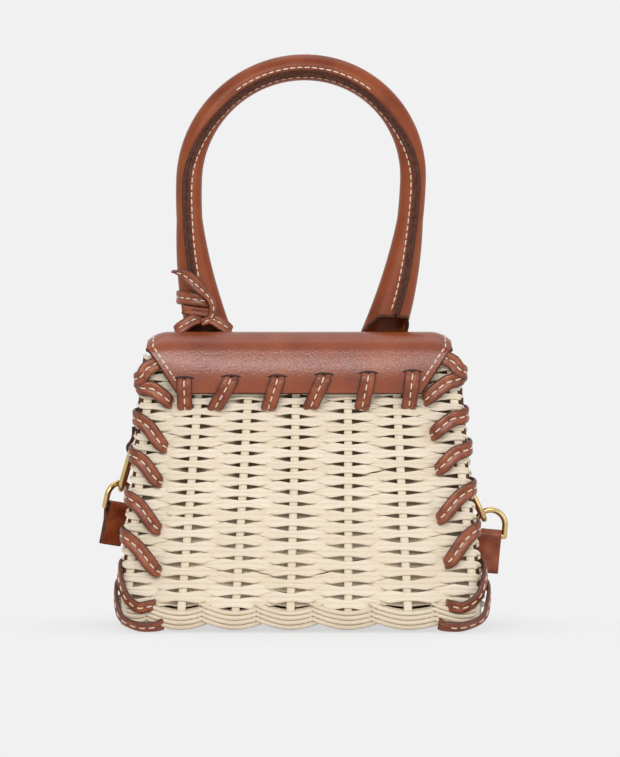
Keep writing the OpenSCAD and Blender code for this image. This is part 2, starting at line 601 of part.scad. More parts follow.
module tab(s) {
  color(leather_colour) on_side(s) translate(bar_at(s)) rotate([0, link_turns[s], 0])
    rotate([tab_turns[s], 0, link_twists[s]])
    difference() {
      union() {
        rotate([0, 90, 0]) cylinder(r = loop_r, h = tab_w, center = true);
        translate([-tab_w / 2, -ply_t, -tab_l]) cube([tab_w, 2 * ply_t, tab_l]);
      }
      rotate([0, 90, 0]) cylinder(r = wire_r + wire_gap, h = tab_w + overrun, center = true);
    }
}
module left_chape() { chape(0); }
module right_chape() { chape(1); }
module left_ring() { ring(0); }
module right_ring() { ring(1); }
module left_link() { link(0); }
module right_link() { link(1); }
module left_tab() { tab(0); }
module right_tab() { tab(1); }

back_panel();
front_panel();
base_panel();
left_gusset();
right_gusset();
lining();
flap_back();
flap();
flap_lacing();
back_left_lacing();
back_right_lacing();
front_left_lacing();
front_right_lacing();
handle();
handle_tie();
magnet_upper();
magnet_lower();
left_chape();
right_chape();
left_ring();
right_ring();
left_link();
right_link();
left_tab();
right_tab();
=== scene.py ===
"""Small woven handbag: reed panels, laced leather flap, folded gussets, rolled handle, gold side rings.

All shapes are worked out in millimetres as whole arrays and put into meshes in metres.
+Z is up, the back of the bag faces -Y and the camera, +X is to the right of the picture.
"""
import bpy
import numpy as np
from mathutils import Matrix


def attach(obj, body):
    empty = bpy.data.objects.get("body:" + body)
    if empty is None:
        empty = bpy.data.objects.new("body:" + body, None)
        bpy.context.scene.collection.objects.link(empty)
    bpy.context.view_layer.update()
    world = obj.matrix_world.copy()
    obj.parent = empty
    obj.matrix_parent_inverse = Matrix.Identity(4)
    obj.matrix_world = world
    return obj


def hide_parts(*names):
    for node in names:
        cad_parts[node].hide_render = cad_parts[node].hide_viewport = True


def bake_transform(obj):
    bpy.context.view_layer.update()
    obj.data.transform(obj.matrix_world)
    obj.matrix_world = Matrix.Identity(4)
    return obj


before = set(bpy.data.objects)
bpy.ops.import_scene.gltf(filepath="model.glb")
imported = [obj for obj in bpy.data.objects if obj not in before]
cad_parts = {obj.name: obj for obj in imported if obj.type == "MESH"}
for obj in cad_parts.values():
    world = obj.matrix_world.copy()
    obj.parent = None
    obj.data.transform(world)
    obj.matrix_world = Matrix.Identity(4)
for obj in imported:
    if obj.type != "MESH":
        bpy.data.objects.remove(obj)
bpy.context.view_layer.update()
MM = 0.001
rng = np.random.default_rng(7)
ANY_PHASE = 6.28

# Sizes of the frame, in millimetres
RIM_H = 115.0
GROUND_HALF_W, WIDTH_FALL = 77.0, 0.1
GROUND_HALF_D, DEPTH_FALL = 35.0, 12.5 / 115.0
LEAN = np.arctan(DEPTH_FALL)
LEAN_M = np.hypot(1.0, DEPTH_FALL)
WICKER_T, GUSSET_T, FLAP_T = 7.5, 1.8, 2.4
SEAT_GAP, FLAP_GAP, FRONT_GAP = 0.2, 0.3, 4.4
FLAP_TOP = 125.4
BEND_R = 12.0
BEND_Z = FLAP_TOP - BEND_R
HINGE_Y = -21.8044

# Directions
UP = np.array([0.0, 0.0, 1.0])
BACK = np.array([0.0, -1.0, 0.0])
MIRROR_X, MIRROR_Y = 0, 1


def half_w(z):
    """Half width of the basket: falls straight from the ground to the rim."""
    return GROUND_HALF_W - WIDTH_FALL * z


def half_d(z):
    """Half depth of the basket: falls straight from the ground to the rim."""
    return GROUND_HALF_D - DEPTH_FALL * z


def unit(v):
    """Vectors divided by their own lengths."""
    return v / np.maximum(np.linalg.norm(v, axis=-1, keepdims=True), 1e-9)


def ease(t):
    """Smooth step: three t squared less two t cubed, with t held between 0 and 1."""
    t = np.clip(t, 0.0, 1.0)
    return t * t * (3.0 - 2.0 * t)


PANEL_OUT = unit(np.array([0.0, -1.0, DEPTH_FALL]))
FRONT_OUT = unit(np.array([0.0, 1.0, DEPTH_FALL]))


# Meshes

def put_mesh(name, points, polygons, materials, body, slot, marks=None, face_material=None, stands_for=()):
    """A mesh object from points in millimetres and a list of index arrays, one array per polygon size."""
    mesh = bpy.data.meshes.new(name)
    points = np.asarray(points, dtype=np.float64).reshape(-1, 3)
    mesh.vertices.add(len(points))
    mesh.vertices.foreach_set("co", (points * MM).astype(np.float32).ravel())
    corners = np.concatenate([p.ravel() for p in polygons]).astype(np.int32)
    sizes = np.concatenate([np.full(len(p), p.shape[1], dtype=np.int32) for p in polygons])
    starts = np.concatenate([[0], np.cumsum(sizes)[:-1]]).astype(np.int32)
    mesh.loops.add(len(corners))
    mesh.loops.foreach_set("vertex_index", corners)
    mesh.polygons.add(len(sizes))
    mesh.polygons.foreach_set("loop_start", starts)
    mesh.polygons.foreach_set("use_smooth", np.ones(len(sizes), dtype=bool))
    for m in materials:
        mesh.materials.append(m)
    if face_material is not None:
        mesh.polygons.foreach_set("material_index", np.asarray(face_material, dtype=np.int32))
    for key, values in (marks or {}).items():
        layer = mesh.attributes.new(key, "FLOAT", "POINT")
        layer.data.foreach_set("value", np.asarray(values, dtype=np.float32).ravel())
    mesh.update(calc_edges=True)
    mesh.validate()
    piece = bpy.data.objects.new(name, mesh)
    bpy.context.scene.collection.objects.link(piece)
    if stands_for:
        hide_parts(*stands_for)
    if body:
        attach(piece, body)
    return piece


def grid_faces(n, m, around=False, flip=False):
    """Quads of an n by m grid of points, closed round its second side if asked."""
    i, j = np.meshgrid(np.arange(n - 1), np.arange(m if around else m - 1), indexing="ij")
    k = (j + 1) % m
    quads = np.stack([i * m + j, i * m + k, (i + 1) * m + k, (i + 1) * m + j], axis=-1).reshape(-1, 4)
    return quads[:, ::-1] if flip else quads


def tube_faces(count, n, m):
    """Quads and end caps of a number of equal tubes with n rings of m points."""
    quads = grid_faces(n, m, around=True, flip=True)
    caps = np.stack([np.arange(m), (n - 1) * m + np.arange(m)[::-1]])
    step = (np.arange(count) * n * m)[:, None, None]
    return [(quads[None] + step).reshape(-1, 4), (caps[None] + step).reshape(-1, m)]


def tubes(centres, normals, profile, wide=1.0, thick=1.0):
    """Profiles carried along S paths of n stations: the centre plus across and up times the profile.
    Across is the tangent times the normal, and up is across times the tangent."""
    tangent = unit(np.gradient(centres, axis=-2))
    across = unit(np.cross(tangent, np.broadcast_to(normals, centres.shape)))
    up = np.cross(across, tangent)
    wide = np.broadcast_to(wide, centres.shape[:-1])[..., None, None]
    thick = np.broadcast_to(thick, centres.shape[:-1])[..., None, None]
    points = (centres[..., None, :] + across[..., None, :] * profile[:, 0:1] * wide
              + up[..., None, :] * profile[:, 1:2] * thick)
    return points.reshape(-1, 3), tube_faces(*points.shape[:3])


def circle(m):
    """A round profile of m points."""
    turn = 2 * np.pi * np.arange(m) / m
    return np.stack([np.cos(turn), np.sin(turn)], axis=1)


def through(knots, n):
    """A smooth path of n points through its knots: cubics whose slopes are half the next less the last."""
    knots = np.asarray(knots, dtype=float)
    slope = np.gradient(knots, axis=0)
    s = np.linspace(0, len(knots) - 1, n)
    i = np.minimum(s.astype(int), len(knots) - 2)
    t = (s - i)[:, None]
    a, b = knots[i], knots[i + 1]
    p, q = slope[i], slope[i + 1]
    return ((2 * t**3 - 3 * t**2 + 1) * a + (t**3 - 2 * t**2 + t) * p
            + (3 * t**2 - 2 * t**3) * b + (t**3 - t**2) * q)


def run_length(path):
    """Distance along a path at each of its points."""
    return np.concatenate([[0], np.cumsum(np.linalg.norm(np.diff(path, axis=0), axis=1))])


def at_run(s, run, values):
    """Values along a path, straight between its points, at the distances s."""
    return np.stack([np.interp(s, run, values[:, k]) for k in range(3)], axis=-1)


def even_path(centres, normals, n):
    """The same path with its stations set at equal distances."""
    run = run_length(centres)
    s = np.linspace(0, run[-1], n)
    return at_run(s, run, centres), unit(at_run(s, run, normals))


def sheet_normal(grid):
    """Outward direction of a sheet: its step across times its step along."""
    return unit(np.cross(np.gradient(grid, axis=1), np.gradient(grid, axis=0)))


RIM_SHARES = (0.2, 0.5, 0.8)


def slab(outer, thickness, swell=0.3):
    """A sheet of leather: an outer grid, the same grid set in along its normal, and a rounded rim between.
    Also gives the material of each face, 1 on the rim and 0 elsewhere."""
    n, m = outer.shape[:2]
    inner = outer - sheet_normal(outer) * thickness
    index = np.arange(n * m).reshape(n, m)
    loop = np.concatenate([index[0, :-1], index[:-1, -1], index[-1, :0:-1], index[:0:-1, 0]])
    out = np.zeros_like(outer)
    out[0] += unit(outer[0] - outer[1])
    out[-1] += unit(outer[-1] - outer[-2])
    out[:, 0] += unit(outer[:, 0] - outer[:, 1])
    out[:, -1] += unit(outer[:, -1] - outer[:, -2])
    at_rim = lambda a: a.reshape(-1, 3)[loop]
    swollen = unit(at_rim(out)) * thickness * swell
    rims = [at_rim(outer) * (1 - d) + at_rim(inner) * d + swollen * (4 * d * (1 - d)) for d in RIM_SHARES]
    points = np.concatenate([outer.reshape(-1, 3), inner.reshape(-1, 3)] + rims)
    size = len(loop)
    rows = [loop] + [2 * n * m + k * size + np.arange(size) for k in range(len(rims))] + [n * m + loop]
    rim = np.concatenate([np.stack([a, np.roll(a, -1), np.roll(b, -1), b], axis=1)
                          for a, b in zip(rows[:-1], rows[1:])])
    faces = np.concatenate([grid_faces(n, m), grid_faces(n, m, flip=True) + n * m, rim[:, ::-1]])
    paint = np.concatenate([np.zeros(len(faces) - len(rim), dtype=int), np.ones(len(rim), dtype=int)])
    return points, [faces], paint


def close_rows(n, low=-1.0, high=1.0, lip=0.012):
    """Shares from low to high, with extra rows close to both ends to hold the edge."""
    body = np.linspace(low, high, n)
    return np.concatenate([[low, low + lip * (high - low)], body[1:-1], [high - lip * (high - low), high]])


def joined(groups):
    """Several groups of points, polygons and marks as one."""
    start, points, polygons, marks = 0, [], [], {}
    for p, f, k in groups:
        points.append(p)
        polygons += [q + start for q in f]
        for key, v in k.items():
            marks.setdefault(key, []).append(v)
        start += len(p)
    return np.concatenate(points), polygons, {k: np.concatenate(v) for k, v in marks.items()}


def mirrored(points, polygons, axis):
    """A mirror copy across one axis, with its polygons turned so that they still face outwards."""
    flipped = points.copy()
    flipped[:, axis] *= -1
    return flipped, [q[:, ::-1] for q in polygons]


# Materials

def colour(r, g, b):
    """Linear colour from picture values of 0 to 255."""
    c = np.array([r, g, b]) / 255.0
    c = np.where(c <= 0.04045, c / 12.92, ((c + 0.055) / 1.055) ** 2.4)
    return (float(c[0]), float(c[1]), float(c[2]), 1.0)


def set_up(tree, node, feeds, sets):
    """Fixed values and links for the inputs of a node."""
    for key, value in sets.items():
        node.inputs[key].default_value = value
    for key, socket in feeds.items():
        tree.links.new(socket, node.inputs[key])


def add(tree, kind, feeds=None, sets=None, **settings):
    """A new shader node with its settings, its links and its fixed inputs."""
    node = tree.nodes.new("ShaderNode" + kind)
    for key, value in settings.items():
        setattr(node, key, value)
    set_up(tree, node, feeds or {}, sets or {})
    return node


def new_material(name):
    """An empty node material with its tree, its shader and the place on the object."""
    m = bpy.data.materials.new(name)
    m.use_nodes = True
    place = add(m.node_tree, "TexCoord").outputs["Object"]
    return m, m.node_tree, m.node_tree.nodes["Principled BSDF"], place


def ramp(tree, share, stops):
    """A colour ramp with the given places and colours."""
    node = add(tree, "ValToRGB", {"Fac": share})
    e = node.color_ramp.elements
    while len(e) < len(stops):
        e.new(0.5)
    for k, (place, c) in enumerate(stops):
        e[k].position = place
        e[k].color = c
    return node.outputs["Color"]


def noise(tree, place, scale, detail):
    """A cloud of values between 0 and 1."""
    return add(tree, "TexNoise", {"Vector": place}, {"Scale": scale, "Detail": detail}).outputs["Fac"]


def attribute(tree, name):
    """A mark that the mesh carries at each of its points."""
    return add(tree, "Attribute", attribute_name=name).outputs["Fac"]


def gloss(tree, value, low, high):
    """Roughness between two values."""
    return add(tree, "MapRange", {"Value": value}, {"To Min": low, "To Max": high}).outputs["Result"]


def bump(tree, height, strength, distance):
    """A bumped normal from a height."""
    sets = {"Strength": strength, "Distance": distance}
    return add(tree, "Bump", {"Height": height}, sets).outputs["Normal"]


def grain_group():
    """Leather grain: fine cells and pores for the height, broad clouds for the tone."""
    group = bpy.data.node_groups.new("leather_grain", "ShaderNodeTree")
    for key, kind in (("Place", "Vector"), ("Cell", "Float"), ("Cloud", "Float")):
        group.interface.new_socket(key, in_out="INPUT", socket_type="NodeSocket" + kind)
    for key in ("Height", "Tone", "Pore"):
        group.interface.new_socket(key, in_out="OUTPUT", socket_type="NodeSocketFloat")
    given = group.nodes.new("NodeGroupInput").outputs
    fine = {"Vector": given["Place"], "Scale": given["Cell"]}
    broad = {"Vector": given["Place"], "Scale": given["Cloud"]}
    cells = add(group, "TexVoronoi", fine, feature="SMOOTH_F1").outputs["Distance"]
    pores = add(group, "TexNoise", fine, {"Detail": 5.0}).outputs["Fac"]
    cloud = add(group, "TexNoise", broad, {"Detail": 4.0}).outputs["Fac"]
    height = add(group, "Math", {0: cells, 2: pores}, {1: 0.6}, operation="MULTIPLY_ADD").outputs[0]
    set_up(group, group.nodes.new("NodeGroupOutput"), {"Height": height, "Tone": cloud, "Pore": pores}, {})
    return group


GRAIN = grain_group()
GRAIN_DEPTH, FINE_DEPTH = 0.0003, 0.0002
PORE_SHINE, PORE_DULL, FINE_SPREAD = 0.1, 0.12, 0.06
# Dark brown for worn thong edges, also used as painted shade in their groove and underneath
WORN_EDGE_AND_SHADE = colour(78, 44, 32)
# Dark brown of the painted shade that the shade mark lays on hidden and recessed reed
PAINTED_SHADE = colour(98, 68, 34)


def leather(name, dark, mid, light, rough, cell=1300.0, cloud=55.0, strength=0.18, gleam=0.3):
    """Polished leather: clouded brown between three tones, grain bump, and gloss that follows the pores."""
    m, tree, shader, place = new_material(name)
    grain = add(tree, "Group", {"Place": place}, {"Cell": cell, "Cloud": cloud}, node_tree=GRAIN).outputs
    tones = ramp(tree, grain["Tone"], [(0.3, dark), (0.5, mid), (0.72, light)])
    # The edge mark darkens towards dark brown: worn dark edges of the thongs, and painted shade in their
    # groove and underneath
    worn_and_shaded = add(tree, "Mix", {0: attribute(tree, "edge"), 6: tones}, {7: WORN_EDGE_AND_SHADE}, data_type="RGBA")
    set_up(tree, shader, {"Base Color": worn_and_shaded.outputs[2],
                          "Roughness": gloss(tree, grain["Pore"], rough - PORE_SHINE, rough + PORE_DULL),
                          "Normal": bump(tree, grain["Height"], strength, GRAIN_DEPTH)},
           {"Specular IOR Level": gleam})
    return m


def edge_paint():
    """Dark painted leather edge, waxy, with a fine unevenness."""
    m, tree, shader, place = new_material("painted_edge")
    fine = noise(tree, place, 700.0, 3.0)
    tones = ramp(tree, fine, [(0.3, colour(62, 34, 24)), (0.7, colour(94, 56, 42))])
    set_up(tree, shader, {"Base Color": tones, "Normal": bump(tree, fine, 0.2, FINE_DEPTH)},
           {"Roughness": 0.5, "Specular IOR Level": 0.18})
    return m


def reed():
    """Pale peeled reed: each strand has its own tone, long fibres run along it, and hidden runs get painted
    shade towards a dark brown.
    """
    m, tree, shader, place = new_material("peeled_reed")
    strand = attribute(tree, "strand")
    split = add(tree, "SeparateXYZ", {0: place}).outputs
    girth = add(tree, "Math", {0: split["Z"], 1: split["Y"]}, operation="ADD").outputs[0]
    girth = add(tree, "Math", {0: girth}, {1: 1.0 / MM}, operation="MULTIPLY").outputs[0]
    spot = add(tree, "CombineXYZ", {"X": attribute(tree, "along"), "Y": girth, "Z": strand}).outputs[0]
    stretched = add(tree, "Mapping", {"Vector": spot}, {"Scale": (0.05, 2.2, 37.0)}).outputs[0]
    fibre = noise(tree, stretched, 1.0, 4.0)
    tones = ramp(tree, fibre, [(0.25, colour(234, 219, 196)), (0.5, colour(243, 230, 210)),
                               (0.75, colour(250, 240, 224))])
    own = ramp(tree, strand, [(0.0, colour(250, 246, 240)), (1.0, colour(255, 254, 252))])
    mixed = add(tree, "Mix", {6: tones, 7: own}, {0: 1.0}, data_type="RGBA", blend_type="MULTIPLY").outputs[2]
    # Painted shade: the shade mark mixes the reed towards dark brown where it lies hidden or recessed
    with_shade = add(tree, "Mix", {0: attribute(tree, "shade"), 6: mixed}, {7: PAINTED_SHADE}, data_type="RGBA").outputs[2]
    set_up(tree, shader, {"Base Color": with_shade, "Normal": bump(tree, fibre, 0.16, FINE_DEPTH)},
           {"Roughness": 0.55, "Specular IOR Level": 0.3})
    return m


def plain(name, low, high, rough, scale, metallic=0.0, strength=0.15):
    """A finish of two close tones on a fine noise, for thread, cloth and metal."""
    m, tree, shader, place = new_material(name)
    fine = noise(tree, place, scale, 3.0)
    tones = ramp(tree, fine, [(0.3, low), (0.7, high)])
    set_up(tree, shader, {"Base Color": tones,
                          "Roughness": gloss(tree, fine, rough - FINE_SPREAD, rough + FINE_SPREAD),
                          "Normal": bump(tree, fine, strength, FINE_DEPTH)}, {"Metallic": metallic})
    return m


FLAP_LEATHER = leather("flap_leather", colour(118, 48, 19), colour(138, 62, 27), colour(151, 75, 37),
                       rough=0.28, strength=0.26, gleam=0.58)
HANDLE_LEATHER = leather("handle_leather", colour(120, 54, 25), colour(141, 68, 35), colour(153, 80, 44),
                         rough=0.36, gleam=0.24)
THONG_LEATHER = leather("thong_leather", colour(110, 48, 24), colour(143, 71, 40), colour(168, 94, 58),
                        rough=0.3, cloud=190.0, strength=0.3, gleam=0.42)
EDGE = edge_paint()
REED = reed()
SHADE = plain("slot_shade", colour(44, 22, 14), colour(58, 30, 20), rough=0.7, scale=900.0)
THREAD = plain("cream_thread", colour(226, 206, 180), colour(247, 234, 214), rough=0.6, scale=1800.0)
GOLD = plain("pale_gold", colour(196, 166, 108), colour(216, 190, 138), rough=0.24, scale=220.0,
             metallic=1.0, strength=0.05)
STEEL = plain("plain_steel", colour(150, 150, 150), colour(190, 190, 190), rough=0.35, scale=400.0,
              metallic=1.0, strength=0.05)
LINING = plain("lining_cloth", colour(58, 36, 24), colour(84, 56, 38), rough=0.85, scale=1500.0, strength=0.4)


# Reed

STAKE_LOW = np.array([-0.955, -0.655, -0.36, -0.06, 0.255, 0.585, 0.955])
STAKE_HIGH = np.array([-0.955, -0.640, -0.325, -0.025, 0.30, 0.60, 0.955])
STAKES = len(STAKE_LOW)
BAYS = STAKES - 1
STAKE_HALF_W, STAKE_HALF_T = 1.76, 1.5
STAKE_FOOT, STAKE_TOP_GAP, STAKE_STEPS = 3.0, 0.4, 30
ROW_LOW = 10.6
ROW_COUNT = 45
ROW_PITCH_LOW, ROW_PITCH_FALL = 2.72, 0.8
ROW_PITCH = ROW_PITCH_LOW - ROW_PITCH_FALL * np.arange(ROW_COUNT) / (ROW_COUNT - 1)
ROW_HALF_T, ROW_LEAST, ROW_OVER_RIM, ROW_UNEVEN = 0.85, 0.8, 0.3, 0.04
WAVE, WAVE_POWER = 1.8, 1.1
# Half height of a row in pitches, from the front of one stake, 0, to the back of the next, 1
ROW_PLACES = [0.0, 0.08, 0.34, 0.5, 0.7, 0.93, 1.0]
ROW_HEIGHTS = [0.61, 0.61, 0.98, 0.56, 0.3, 0.62, 0.62]
# How far rows wander: jitter in bays along the panel, drift and ripple in millimetres up it
JITTER, JITTER_PACE = 0.05, 2.3
DRIFT, DRIFT_PACE = 0.16, 1.7
RIPPLE, RIPPLE_PACE = 0.1, 4.1
BAY_STEPS, END_STEPS, END_REACH, END_MEET = 121, 6, 3.0, 0.42
# Painted shade on the runs behind the stakes: where it sets in, and its shares low, high and in the outer
# bays
BEHIND_FROM, BEHIND_OVER = 0.45, 0.35
OUTER_FROM, OUTER_OVER = 1.6, 0.8
SHADE_LOW, SHADE_OUTER, SHADE_HIGH = 0.1, 0.3, 0.78
SHADE_Z, SHADE_H = 26.0, 44.0
STAKE_SECTION = np.array([[1.0, 0.3], [0.97, 0.78], [0.84, 0.95], [0.0, 1.0], [-0.84, 0.95], [-0.97, 0.78],
                          [-1.0, 0.3], [-0.8, -0.8], [0.0, -1.0], [0.8, -0.8]])
PAIR_SECTION = np.array([[1.0, 0.3], [0.96, 0.8], [0.78, 0.97], [0.42, 1.0], [0.14, 0.9], [0.0, 0.56],
                         [-0.14, 0.9], [-0.42, 1.0], [-0.78, 0.97], [-0.96, 0.8], [-1.0, 0.3], [-0.8, -0.8],
                         [0.0, -1.0], [0.8, -0.8]])
REED_SIDES = 8


def stake_x(z):
    """Places of the seven stakes at heights z: shares of the half width that shift a little up the panel."""
    t = np.clip(np.asarray(z)[..., None] / RIM_H, 0, 1)
    return (STAKE_LOW * (1 - t) + STAKE_HIGH * t) * half_w(np.asarray(z))[..., None]


def at_bay(places, bay):
    """Places between the stakes: straight between the two stakes of the bay coordinate."""
    i = np.clip(bay.astype(int), 0, places.shape[-1] - 2)
    t = bay - i
    return places[..., i] * (1 - t) + places[..., i + 1] * t


def panel_point(x, depth, z):
    """A point of the leaning back panel: depth counts inwards from its outer face."""
    return np.stack([x, depth - half_d(z), z], axis=-1)


def reed_strands(centres, normals, section, wide, thick, along, strand, shade):
    """Strands of reed, with the marks that their finish reads spread from each station round the section."""
    spread = lambda a: np.repeat(np.broadcast_to(a, centres.shape[:-1]).reshape(-1), len(section))
    marks = {"along": spread(along), "strand": spread(strand), "shade": spread(shade)}
    return *tubes(centres, normals, section, wide, thick), marks


def weave_strands():
    """Rows of paired reed: depth is a power of the cosine of the bay, and rows alternate. Each row is slim
    over a stake and broad beside it, and tapers in a long wedge as it passes behind, leaving lens gaps."""
    rows = np.arange(ROW_COUNT)[:, None]
    pitch = ROW_PITCH[:, None]
    ends = np.zeros(END_STEPS)
    bays = np.concatenate([ends, np.linspace(0, BAYS, BAY_STEPS), ends + BAYS])
    turn = np.linspace(0, np.pi / 2, END_STEPS + 1)[1:]
    straight = np.zeros(BAY_STEPS + END_STEPS)
    left = np.concatenate([turn[::-1], straight])
    right = np.concatenate([straight, turn])
    sway = lambda pace: np.sin(bays * pace + rng.uniform(0, ANY_PHASE, (ROW_COUNT, 1)))
    wave = np.cos(np.pi * (bays + JITTER * sway(JITTER_PACE) + rows))
    passed = np.arccos(np.clip(wave, -1, 1)) / np.pi
    out = WAVE * np.sign(wave) * np.abs(wave) ** WAVE_POWER * np.cos(left + right)
    drift = DRIFT * sway(DRIFT_PACE) + RIPPLE * sway(RIPPLE_PACE)
    meet = np.where(rows % 2 == 0, 1.0, -1.0) * (np.cos(right) - np.cos(left))
    z0 = ROW_LOW + np.cumsum(ROW_PITCH) - ROW_PITCH / 2
    z = z0[:, None] + drift + END_MEET * pitch * meet
    x = at_bay(stake_x(z0), bays) - END_REACH * np.sin(left) + END_REACH * np.sin(right)
    tall = pitch * np.interp(passed, ROW_PLACES, ROW_HEIGHTS)
    tall = tall * (1 + ROW_UNEVEN * rng.standard_normal((ROW_COUNT, 1)))
    tall = np.minimum(tall, np.maximum(RIM_H + ROW_OVER_RIM - z, ROW_LEAST))
    # Painted shade where a run passes behind a stake, darker higher up the panel and in the outer bays
    behind = ease((-out / WAVE - BEHIND_FROM) / BEHIND_OVER)
    outer = SHADE_OUTER * ease((np.abs(bays - BAYS / 2) - OUTER_FROM) / OUTER_OVER)
    shade = behind * (SHADE_LOW + outer + (SHADE_HIGH - outer) * ease((z - SHADE_Z) / SHADE_H))
    return reed_strands(panel_point(x, WICKER_T / 2 - out, z), PANEL_OUT, PAIR_SECTION, tall, ROW_HALF_T,
                        x, rng.uniform(0, 1, (ROW_COUNT, 1)), shade)


def stake_tubes():
    """Upright stakes: one profile carried up the fan of the panel, from the border to the rim."""
    z = np.linspace(STAKE_FOOT, RIM_H - STAKE_TOP_GAP, STAKE_STEPS)
    x = stake_x(z).T
    z = np.broadcast_to(z, x.shape)
    return reed_strands(panel_point(x, WICKER_T / 2, z), PANEL_OUT, STAKE_SECTION, STAKE_HALF_W, STAKE_HALF_T,
                        z, np.linspace(0.1, 0.9, STAKES)[:, None], 0.0)


BORDER_LEVELS = np.array([2.1, 4.05, 6.0, 7.95])
BORDER_DEPTHS = np.array([1.7, 5.6])
BORDER_MID_Z = 6.0
BORDER_HALF_H, BORDER_HALF_T = 0.97, 1.3
BORDER_ARCH, BORDER_ARCH_POWER, BORDER_LAYER_RISE = 3.3, 1.8, 0.5
BORDER_REACH, BORDER_PAST, BORDER_START, BORDER_STEPS = 0.58, 0.3, -1.15, 29
CORNER_FROM, CORNER_BAY, CORNER_RISE, CORNER_OUT = 0.35, 0.65, 5.0, 4
TUCK_FROM, TUCK_IN, LAID_OVER = 0.5, 1.7, 0.5
TIP_FROM, TIP_OVER, TIP_SLIM = 0.8, 0.35, 0.5
# Painted shade on the border: an even share, more towards the ground, and more where the ends tuck in
BORDER_SHADE, GROUND_SHADE, GROUND_SHADE_H, TUCK_SHADE = 0.07, 0.16, 6.5, 0.3


def border_strands():
    """Rolled border: nested arcs, low at each stake, that rise by a power of the share along them. The left
    ends lie over the right ends of the arcs beside them."""
    stake, level, layer = [a.reshape(-1, 1) for a in np.meshgrid(
        np.arange(STAKES), np.arange(len(BORDER_LEVELS)), np.arange(len(BORDER_DEPTHS)), indexing="ij")]
    t = np.linspace(BORDER_START, 1, BORDER_STEPS)
    bays = np.clip(stake + BORDER_REACH * t, -BORDER_PAST, BAYS + BORDER_PAST)
    corner = (np.clip((CORNER_FROM - bays) / CORNER_BAY, 0, 1)
              + np.clip((bays - (BAYS - CORNER_FROM)) / CORNER_BAY, 0, 1))
    z = (BORDER_LEVELS[level] + BORDER_ARCH * np.abs(t) ** BORDER_ARCH_POWER + BORDER_LAYER_RISE * layer
         + CORNER_RISE * corner**2)
    places = stake_x(np.array(BORDER_MID_Z))
    places = np.concatenate([places[:1] - CORNER_OUT, places, places[-1:] + CORNER_OUT])
    x = np.interp(bays, np.arange(-1, STAKES + 1), places)
    tuck = ease((t - TUCK_FROM) / (1 - TUCK_FROM))
    over = ease((-t - TUCK_FROM) / (1 - TUCK_FROM))
    depth = BORDER_DEPTHS[layer] - LAID_OVER * over + TUCK_IN * tuck
    slim = 1.0 - TIP_SLIM * ease((np.abs(t) - TIP_FROM) / TIP_OVER)
    # Painted shade: all over the border, darker near the ground and where the ends tuck in
    shade = BORDER_SHADE + GROUND_SHADE * (1 - ease(z / GROUND_SHADE_H)) + TUCK_SHADE * tuck
    return reed_strands(panel_point(x, depth, z), PANEL_OUT, circle(REED_SIDES), BORDER_HALF_H * slim,
                        BORDER_HALF_T * slim, x, rng.uniform(0, 1, (len(stake), 1)), shade)


def make_panels():
    """The two woven panels; the front one is the back one mirrored."""
    points, polygons, marks = joined([weave_strands(), stake_tubes(), border_strands()])
    put_mesh("back_weave", points, polygons, [REED], "bag", "reed", marks, stands_for=["back_panel"])
    points, polygons = mirrored(points, polygons, MIRROR_Y)
    put_mesh("front_weave", points, polygons, [REED], "bag", "reed", marks, stands_for=["front_panel"])


FLOOR_ROWS, FLOOR_PITCH, FLOOR_BAYS, FLOOR_STEPS = 22, 2.42, 14, 113
FLOOR_HALF_W, FLOOR_HALF_D, FLOOR_Z, FLOOR_WAVE = 70.5, 26.2, 5.3, 1.55
FLOOR_REED_HALF_W, FLOOR_REED_SPREAD, FLOOR_REED_HALF_T, FLOOR_REED_SHADE = 1.15, 0.1, 1.0, 0.25
FLOOR_STAKE_HALF_W, FLOOR_STAKE_HALF_T, FLOOR_STAKE_SHADE, FLOOR_STAKE_STEPS = 1.3, 0.9, 0.1, 20
MIDDLE_TONE = 0.5


def make_floor_weave():
    """Woven floor: rows of reed along the bag that rise and fall over cross stakes by a cosine of the bay."""
    rows = np.arange(FLOOR_ROWS)[:, None]
    bay = np.linspace(0, FLOOR_BAYS, FLOOR_STEPS)
    x = np.linspace(-FLOOR_HALF_W, FLOOR_HALF_W, FLOOR_STEPS)
    wave = np.cos(np.pi * (bay + rows))
    y = (rows - (FLOOR_ROWS - 1) / 2) * FLOOR_PITCH
    centres = np.stack([x + 0 * wave, y + 0 * wave, FLOOR_Z + FLOOR_WAVE * wave], axis=-1)
    wide = FLOOR_REED_HALF_W + FLOOR_REED_SPREAD * np.abs(wave)
    # Painted shade on the rows, strongest where a row rises over a stake
    strands = reed_strands(centres, UP, circle(REED_SIDES), wide, FLOOR_REED_HALF_T, x,
                           rng.uniform(0, 1, (FLOOR_ROWS, 1)), FLOOR_REED_SHADE * ease(wave))
    x = np.linspace(-FLOOR_HALF_W, FLOOR_HALF_W, FLOOR_BAYS + 1)[1:-1, None]
    y = np.linspace(-FLOOR_HALF_D, FLOOR_HALF_D, FLOOR_STAKE_STEPS)
    centres = np.stack([x + 0 * y, y + 0 * x, FLOOR_Z + 0 * x + 0 * y], axis=-1)
    # An even painted shade on the cross stakes
    stakes = reed_strands(centres, UP, circle(REED_SIDES), FLOOR_STAKE_HALF_W, FLOOR_STAKE_HALF_T, y,
                          MIDDLE_TONE, FLOOR_STAKE_SHADE)
    points, polygons, marks = joined([strands, stakes])
    put_mesh("floor_weave", points, polygons, [REED], "bag", "reed", marks, stands_for=["base_panel"])


# Leather body

